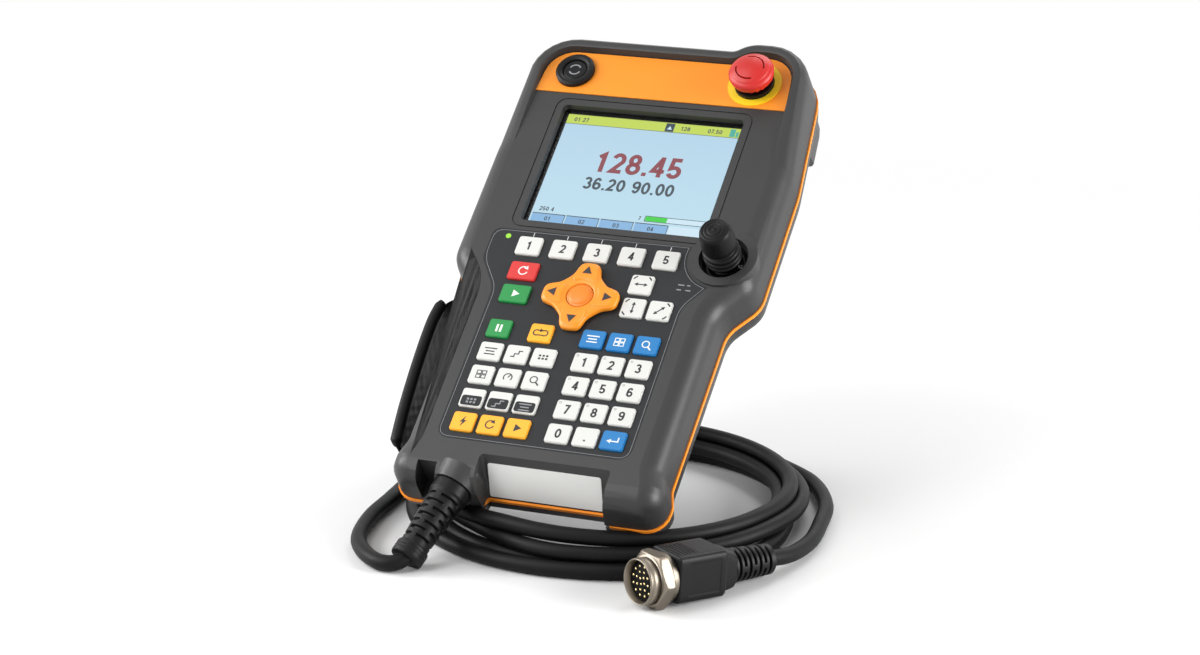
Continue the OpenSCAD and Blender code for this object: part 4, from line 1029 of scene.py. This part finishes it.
class PENDANT_OT_pad(bpy.types.Operator):
    """Makes the direction pad's four lobes, with a raised wedge and an arrow on each"""

    bl_idname = "pendant.pad"
    bl_label = "Direction pad"

    def execute(self, context):
        turn = np.linspace(0, 2 * np.pi, 288, endpoint=False)
        rim = pad_outline(turn)
        a = off_axis(turn)
        rows = [np.stack([np.full_like(turn, r), np.full_like(turn, z)])
                for r, z in ((PAD_HOLE_R, PAD_LOW), (PAD_HOLE_R, PAD_TOP - 1.1),
                             (PAD_HOLE_R + 0.5, PAD_TOP - 0.6), (PAD_HOLE_R + 2.0, PAD_TOP - 0.6),
                             (PAD_HOLE_R + 2.4, PAD_TOP - 0.5))]
        for share in np.linspace(0, 1, 25):
            r = PAD_HOLE_R + 2.6 + share * (rim - 1.5 - PAD_HOLE_R - 2.6)
            # Wedges: raised by ramp of the distance from their straight sides and from the ring
            rise = 1.0 * ramp((r - PAD_HOLE_R - 3.2) / 0.7) * ramp((8.6 - r * np.sin(a)) / 0.8)
            rise *= ramp((0.6 - a) / 0.06) * ramp((rim - 1.9 - r) / 0.7)
            rows.append(np.stack([r, PAD_TOP - 0.5 + rise]))
        for inset, drop in ((0.9, 0.72), (0.35, 1.15), (0.05, 1.9), (0.0, 2.6),
                            (0.0, PAD_TOP - PAD_LOW - 0.3)):
            rows.append(np.stack([rim - inset, np.full_like(turn, PAD_TOP - drop)]))
        rows.append(np.stack([rim - 0.4, np.full_like(turn, PAD_LOW)]))
        r, z = np.stack(rows, 1)
        points = np.stack([PAD_AT[0] + r * np.cos(turn), PAD_AT[1] + r * np.sin(turn), z], -1)
        shape = posed(points.reshape(-1, 3)), grid_faces(len(r), len(turn), wrap_rows=True, wrap_columns=True)
        stand_in("direction_pad", shape, "pad_orange", "dpad", "dpad")
        mark = Print(PAD_TOP + 0.53, 0.06)
        for k in range(4):
            at = np.array(PAD_AT) + arc((0, 0), 19.6, 90 * k, 90 * k, 1)[0]
            triangle(mark, at, 4.4, 90 * k, "pad_edge")
            mark.high += 0.03
            triangle(mark, at, 3.9, 90 * k, "ink_black")
            mark.high -= 0.03
        mark.make("pad_arrows", "dpad")
        dome = [[0, 3.0], [8.9, 3.0], [9.3, 3.6], [9.3, 4.7], [9.0, 5.0], [7.9, 4.9], [7.5, 5.1], [7.1, 5.7],
                [6.6, 5.95], [4.5, 6.2], [2.2, 6.35], [0, 6.4]]
        points, faces = revolve(dome, 96)
        shape = posed(points + [*PAD_AT, 0]), faces
        stand_in("pad_button", shape, "pad_centre", "dpad_centre", "dpad_centre")
        return {"FINISHED"}


class PENDANT_OT_stick(bpy.types.Operator):
    """Makes the joystick's rubber: a ringed cap on a bellows of three folds"""

    bl_idname = "pendant.stick"
    bl_label = "Joystick"

    def execute(self, context):
        folds = []
        for z, r in ((1.6, 13.0), (5.8, 13.3), (9.9, 12.9)):
            turn = np.radians(np.linspace(-62, 72, 8))
            folds += np.stack([r - 2.0 + 2.0 * np.cos(turn), z + 1.8 * np.sin(turn)], 1).tolist()
            folds.append([r - 2.9, z + 2.2])
        stem = [[0, -11], [4, -11], [4, -4], [10.4, -2.2], [11.2, -0.6]]
        cap = [[10.4, 13.2], [11.7, 14.2], [12.1, 15.6], [12.1, 18], [11.7, 24], [11.2, 28.4], [10.7, 30.4],
               [9.8, 31.7], [8.6, 32.3], [8.2, 32.0], [7.7, 32.0], [7.3, 32.4], [6.2, 32.7], [5.8, 32.4],
               [5.2, 32.4], [4.8, 32.8], [3.0, 33], [2.6, 32.7], [1.8, 32.7], [1.4, 33], [0, 33]]
        points, faces = revolve([*stem, *folds, *cap], 96)
        shape = posed(points + [*STICK_AT, 0]), faces
        stand_in("joystick_rubber", shape, "joystick_rubber", "joystick_stick", "joystick_stick")
        return {"FINISHED"}


# ---------- hand strap ----------

STRAP_LEVEL = -41
SLEEVE_HALF, ROLL_R = 19.0, 4.4
WEBBING_ROUTE = [[-101.5, -34], [-108.5, -37.5], [-114.5, -43.5], [-117, -58], [-116.8, -80],
                 [-115.2, -105], [-113, -130], [-110.8, -148], [-107, -160], [-96, -168]]
SLEEVE_ROUTE = [[-115.5, -43], [-117.3, -58], [-116.8, -80], [-115.2, -105], [-113, -130], [-110.8, -148],
                [-108.8, -162]]


def band(route, section):
    """Points and faces of a closed band along a route across the face, standing on edge:
    section(s, t) gives the distances off the route and across the band for the share s of
    the length and the angle t round the band."""
    line = smooth_line(route, 1.6)
    ahead = np.gradient(line, axis=0)
    ahead /= np.linalg.norm(ahead, axis=1)[:, None]
    side = np.stack([ahead[:, 1], -ahead[:, 0]], 1)
    s = np.linspace(0, 1, len(line))[:, None]
    t = np.linspace(0, 2 * np.pi, 96, endpoint=False)[None]
    off, across = section(s, t)
    points = np.stack([line[:, :1] + side[:, :1] * off, line[:, 1:] + side[:, 1:] * off,
                       STRAP_LEVEL + across], -1)
    n, m = points.shape[:2]
    return points.reshape(-1, 3), capped(n, m)


def sleeve_section(s, t):
    """Two rolled edges of radius R with thin padding between them: at the distance c across,
    the half thickness is the larger of sqrt(R^2 - (|c| - W + R)^2) and a flat part with low
    creases, both drawn in at the ends."""
    across = SLEEVE_HALF * np.cos(t)
    roll = np.sqrt(np.maximum(ROLL_R ** 2 - (np.abs(across) - SLEEVE_HALF + ROLL_R) ** 2, 0))
    creases = 0.22 * np.sin(s * 47 + across * 0.35) * np.sin(s * 19 + 1.3)
    creases = creases + 0.15 * np.sin(s * 90 - across * 0.6)
    flat = (1.7 + creases) * ramp((SLEEVE_HALF - np.abs(across)) / 1.5)
    ends = 0.55 + 0.45 * ramp(np.minimum(s, 1 - s) / 0.025)
    return np.sign(np.sin(t)) * np.maximum(roll, flat) * ends, across * (0.93 + 0.07 * ends)


def webbing_section(s, t):
    """A thin flat band with rounded edges."""
    across = 12.5 * np.sign(np.cos(t)) * np.abs(np.cos(t)) ** 0.4
    return 0.8 * np.sign(np.sin(t)) * np.abs(np.sin(t)) ** 0.6 + 0 * s, across + 0 * s


class PENDANT_OT_strap(bpy.types.Operator):
    """Makes the padded sleeve of the hand strap and the webbing that comes out of its ends"""

    bl_idname = "pendant.strap"
    bl_label = "Hand strap"

    def execute(self, context):
        points, faces = band(SLEEVE_ROUTE, sleeve_section)
        sleeve = stand_in("strap_sleeve", (posed(points), faces), "strap_fabric", "pendant", "hand_strap")
        points, faces = band(WEBBING_ROUTE, webbing_section)
        webbing = mesh_piece("strap_webbing", posed(points), faces, FINISH["strap_fabric"], "pendant")
        return {"FINISHED"}


# ---------- stage ----------

CAMERA_AT = (0.773, -1.763, 0.738)
CAMERA_AXES = ((0.92703, 0.37499, 0.0), (-0.10732, 0.26531, 0.95817), (-0.35931, 0.88825, -0.28619))
LENS = 93.54
# Name, place, aim, side in metres and watts of each soft square lamp
LAMPS = (("key_lamp", (-1.2, -1.3, 1.1), (0, 0.12, 0.1), 0.9, 16),
         ("top_lamp", (-0.75, -0.7, 1.8), (0, 0.12, 0.1), 0.9, 8),
         ("right_lamp", (1.7, 0.1, 0.5), (0, 0.15, 0.15), 1.0, 36),
         ("left_lamp", (-1.7, -0.2, 0.9), (0, 0.15, 0.15), 0.9, 26),
         ("back_lamp", (0.1, 1.5, 1.6), (0, 0.12, 0.15), 1.0, 11))
SURROUND_LIGHT = 0.25
FLOOR_HALF = 6.0
FADE_FROM, FADE_TO = 0.22, 1.2


class PENDANT_OT_stage(bpy.types.Operator):
    """Makes the camera, lamps, pale floor and white surround"""

    bl_idname = "pendant.stage"
    bl_label = "Stage"

    def execute(self, context):
        scene = context.scene
        data = bpy.data.cameras.new("camera")
        data.lens, data.sensor_width = LENS, 36.0
        data.clip_start, data.clip_end = 0.05, 50
        camera = bpy.data.objects.new("camera", data)
        right, up, ahead = (np.array(a) for a in CAMERA_AXES)
        world = np.eye(4)
        world[:3, :3] = np.stack([right, up, -ahead], 1)
        world[:3, 3] = CAMERA_AT
        camera.matrix_world = Matrix(world.tolist())
        scene.collection.objects.link(camera)
        scene.camera = camera

        floor = Paint("floor", Roughness=0.75)
        floor.set("Base Color", (0.9, 0.9, 0.9, 1))
        corners = [[x * FLOOR_HALF, y * FLOOR_HALF, 0] for x, y in ((-1, -1), (1, -1), (1, 1), (-1, 1))]
        mesh = bpy.data.meshes.new("floor")
        mesh.from_pydata(corners, [], [[0, 1, 2, 3]])
        mesh.materials.append(floor.material)
        piece = bpy.data.objects.new("floor", mesh)
        scene.collection.objects.link(piece)
        # Away from the object the floor fades into the white surround
        place = floor.node("Mapping", {}, {"Vector": floor.place, "Location": (0, -0.15, 0)})
        away = floor.node("VectorMath", {"operation": "LENGTH"}, {0: place}, "Value")
        fade = floor.node("MapRange", {"interpolation_type": "SMOOTHSTEP"},
                          {"Value": away, "From Min": FADE_FROM, "From Max": FADE_TO})
        white = floor.node("Emission", {}, {"Color": (1, 1, 1, 1), "Strength": 1.0})
        plain = Shade(floor, floor.shader.outputs[0])
        floor.surface(floor.node("MixShader", {}, {0: fade, 1: plain, 2: white}))

        # The surround is white to the eye, in gloss and through glass, and lights the rest dimly
        scene.world = bpy.data.worlds.new("surround")
        scene.world.use_nodes = True
        surround = Nodes(scene.world.node_tree)
        background = surround.tree.nodes["Background"]
        background.inputs["Color"].default_value = (1, 1, 1, 1)
        seen = sum(surround.node("LightPath", output=f"Is {kind} Ray")
                   for kind in ("Camera", "Glossy", "Transmission"))
        strength = surround.node("MapRange", {}, {"Value": seen, "To Min": SURROUND_LIGHT, "To Max": 1.0})
        surround.feed(background.inputs["Strength"], strength)

        for name, where, aim, size, power in LAMPS:
            data = bpy.data.lights.new(name, "AREA")
            data.size, data.energy = size, power
            lamp = bpy.data.objects.new(name, data)
            lamp.location = where
            lamp.rotation_mode = "QUATERNION"
            lamp.rotation_quaternion = (Vector(aim) - lamp.location).to_track_quat("-Z", "Y")
            scene.collection.objects.link(lamp)
        scene.view_settings.view_transform = "Standard"
        return {"FINISHED"}


class PENDANT_PT_panel(bpy.types.Panel):
    """Lists the steps that dress the pendant"""

    bl_idname = "PENDANT_PT_panel"
    bl_label = "Pendant"
    bl_space_type = "VIEW_3D"
    bl_region_type = "UI"
    bl_category = "Pendant"

    def draw(self, context):
        for step in STEPS:
            self.layout.operator(step.bl_idname)
        for settings in (context.scene.pendant_colours, context.scene.pendant_cord):
            for name in settings.__annotations__:
                self.layout.prop(settings, name)


STEPS = (PENDANT_OT_stage, PENDANT_OT_relief, PENDANT_OT_connector, PENDANT_OT_cord,
         PENDANT_OT_finish_nodes, PENDANT_OT_strap, PENDANT_OT_display, PENDANT_OT_overlay,
         PENDANT_OT_legends, PENDANT_OT_pad, PENDANT_OT_stick)
CLASSES = (PendantColours, PendantCord, *STEPS, PENDANT_PT_panel)


def register():
    """Adds the classes and the scene's settings."""
    for each in CLASSES:
        bpy.utils.register_class(each)
    bpy.types.Scene.pendant_colours = bpy.props.PointerProperty(type=PendantColours)
    bpy.types.Scene.pendant_cord = bpy.props.PointerProperty(type=PendantCord)


def unregister():
    """Takes them away again."""
    del bpy.types.Scene.pendant_cord
    del bpy.types.Scene.pendant_colours
    for each in reversed(CLASSES):
        bpy.utils.unregister_class(each)


def main():
    """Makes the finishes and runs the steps."""
    register()
    make_finishes(bpy.context.scene.pendant_colours)
    for step in STEPS:
        group, name = step.bl_idname.split(".")
        getattr(getattr(bpy.ops, group), name)()


if __name__ == "__main__":
    main()
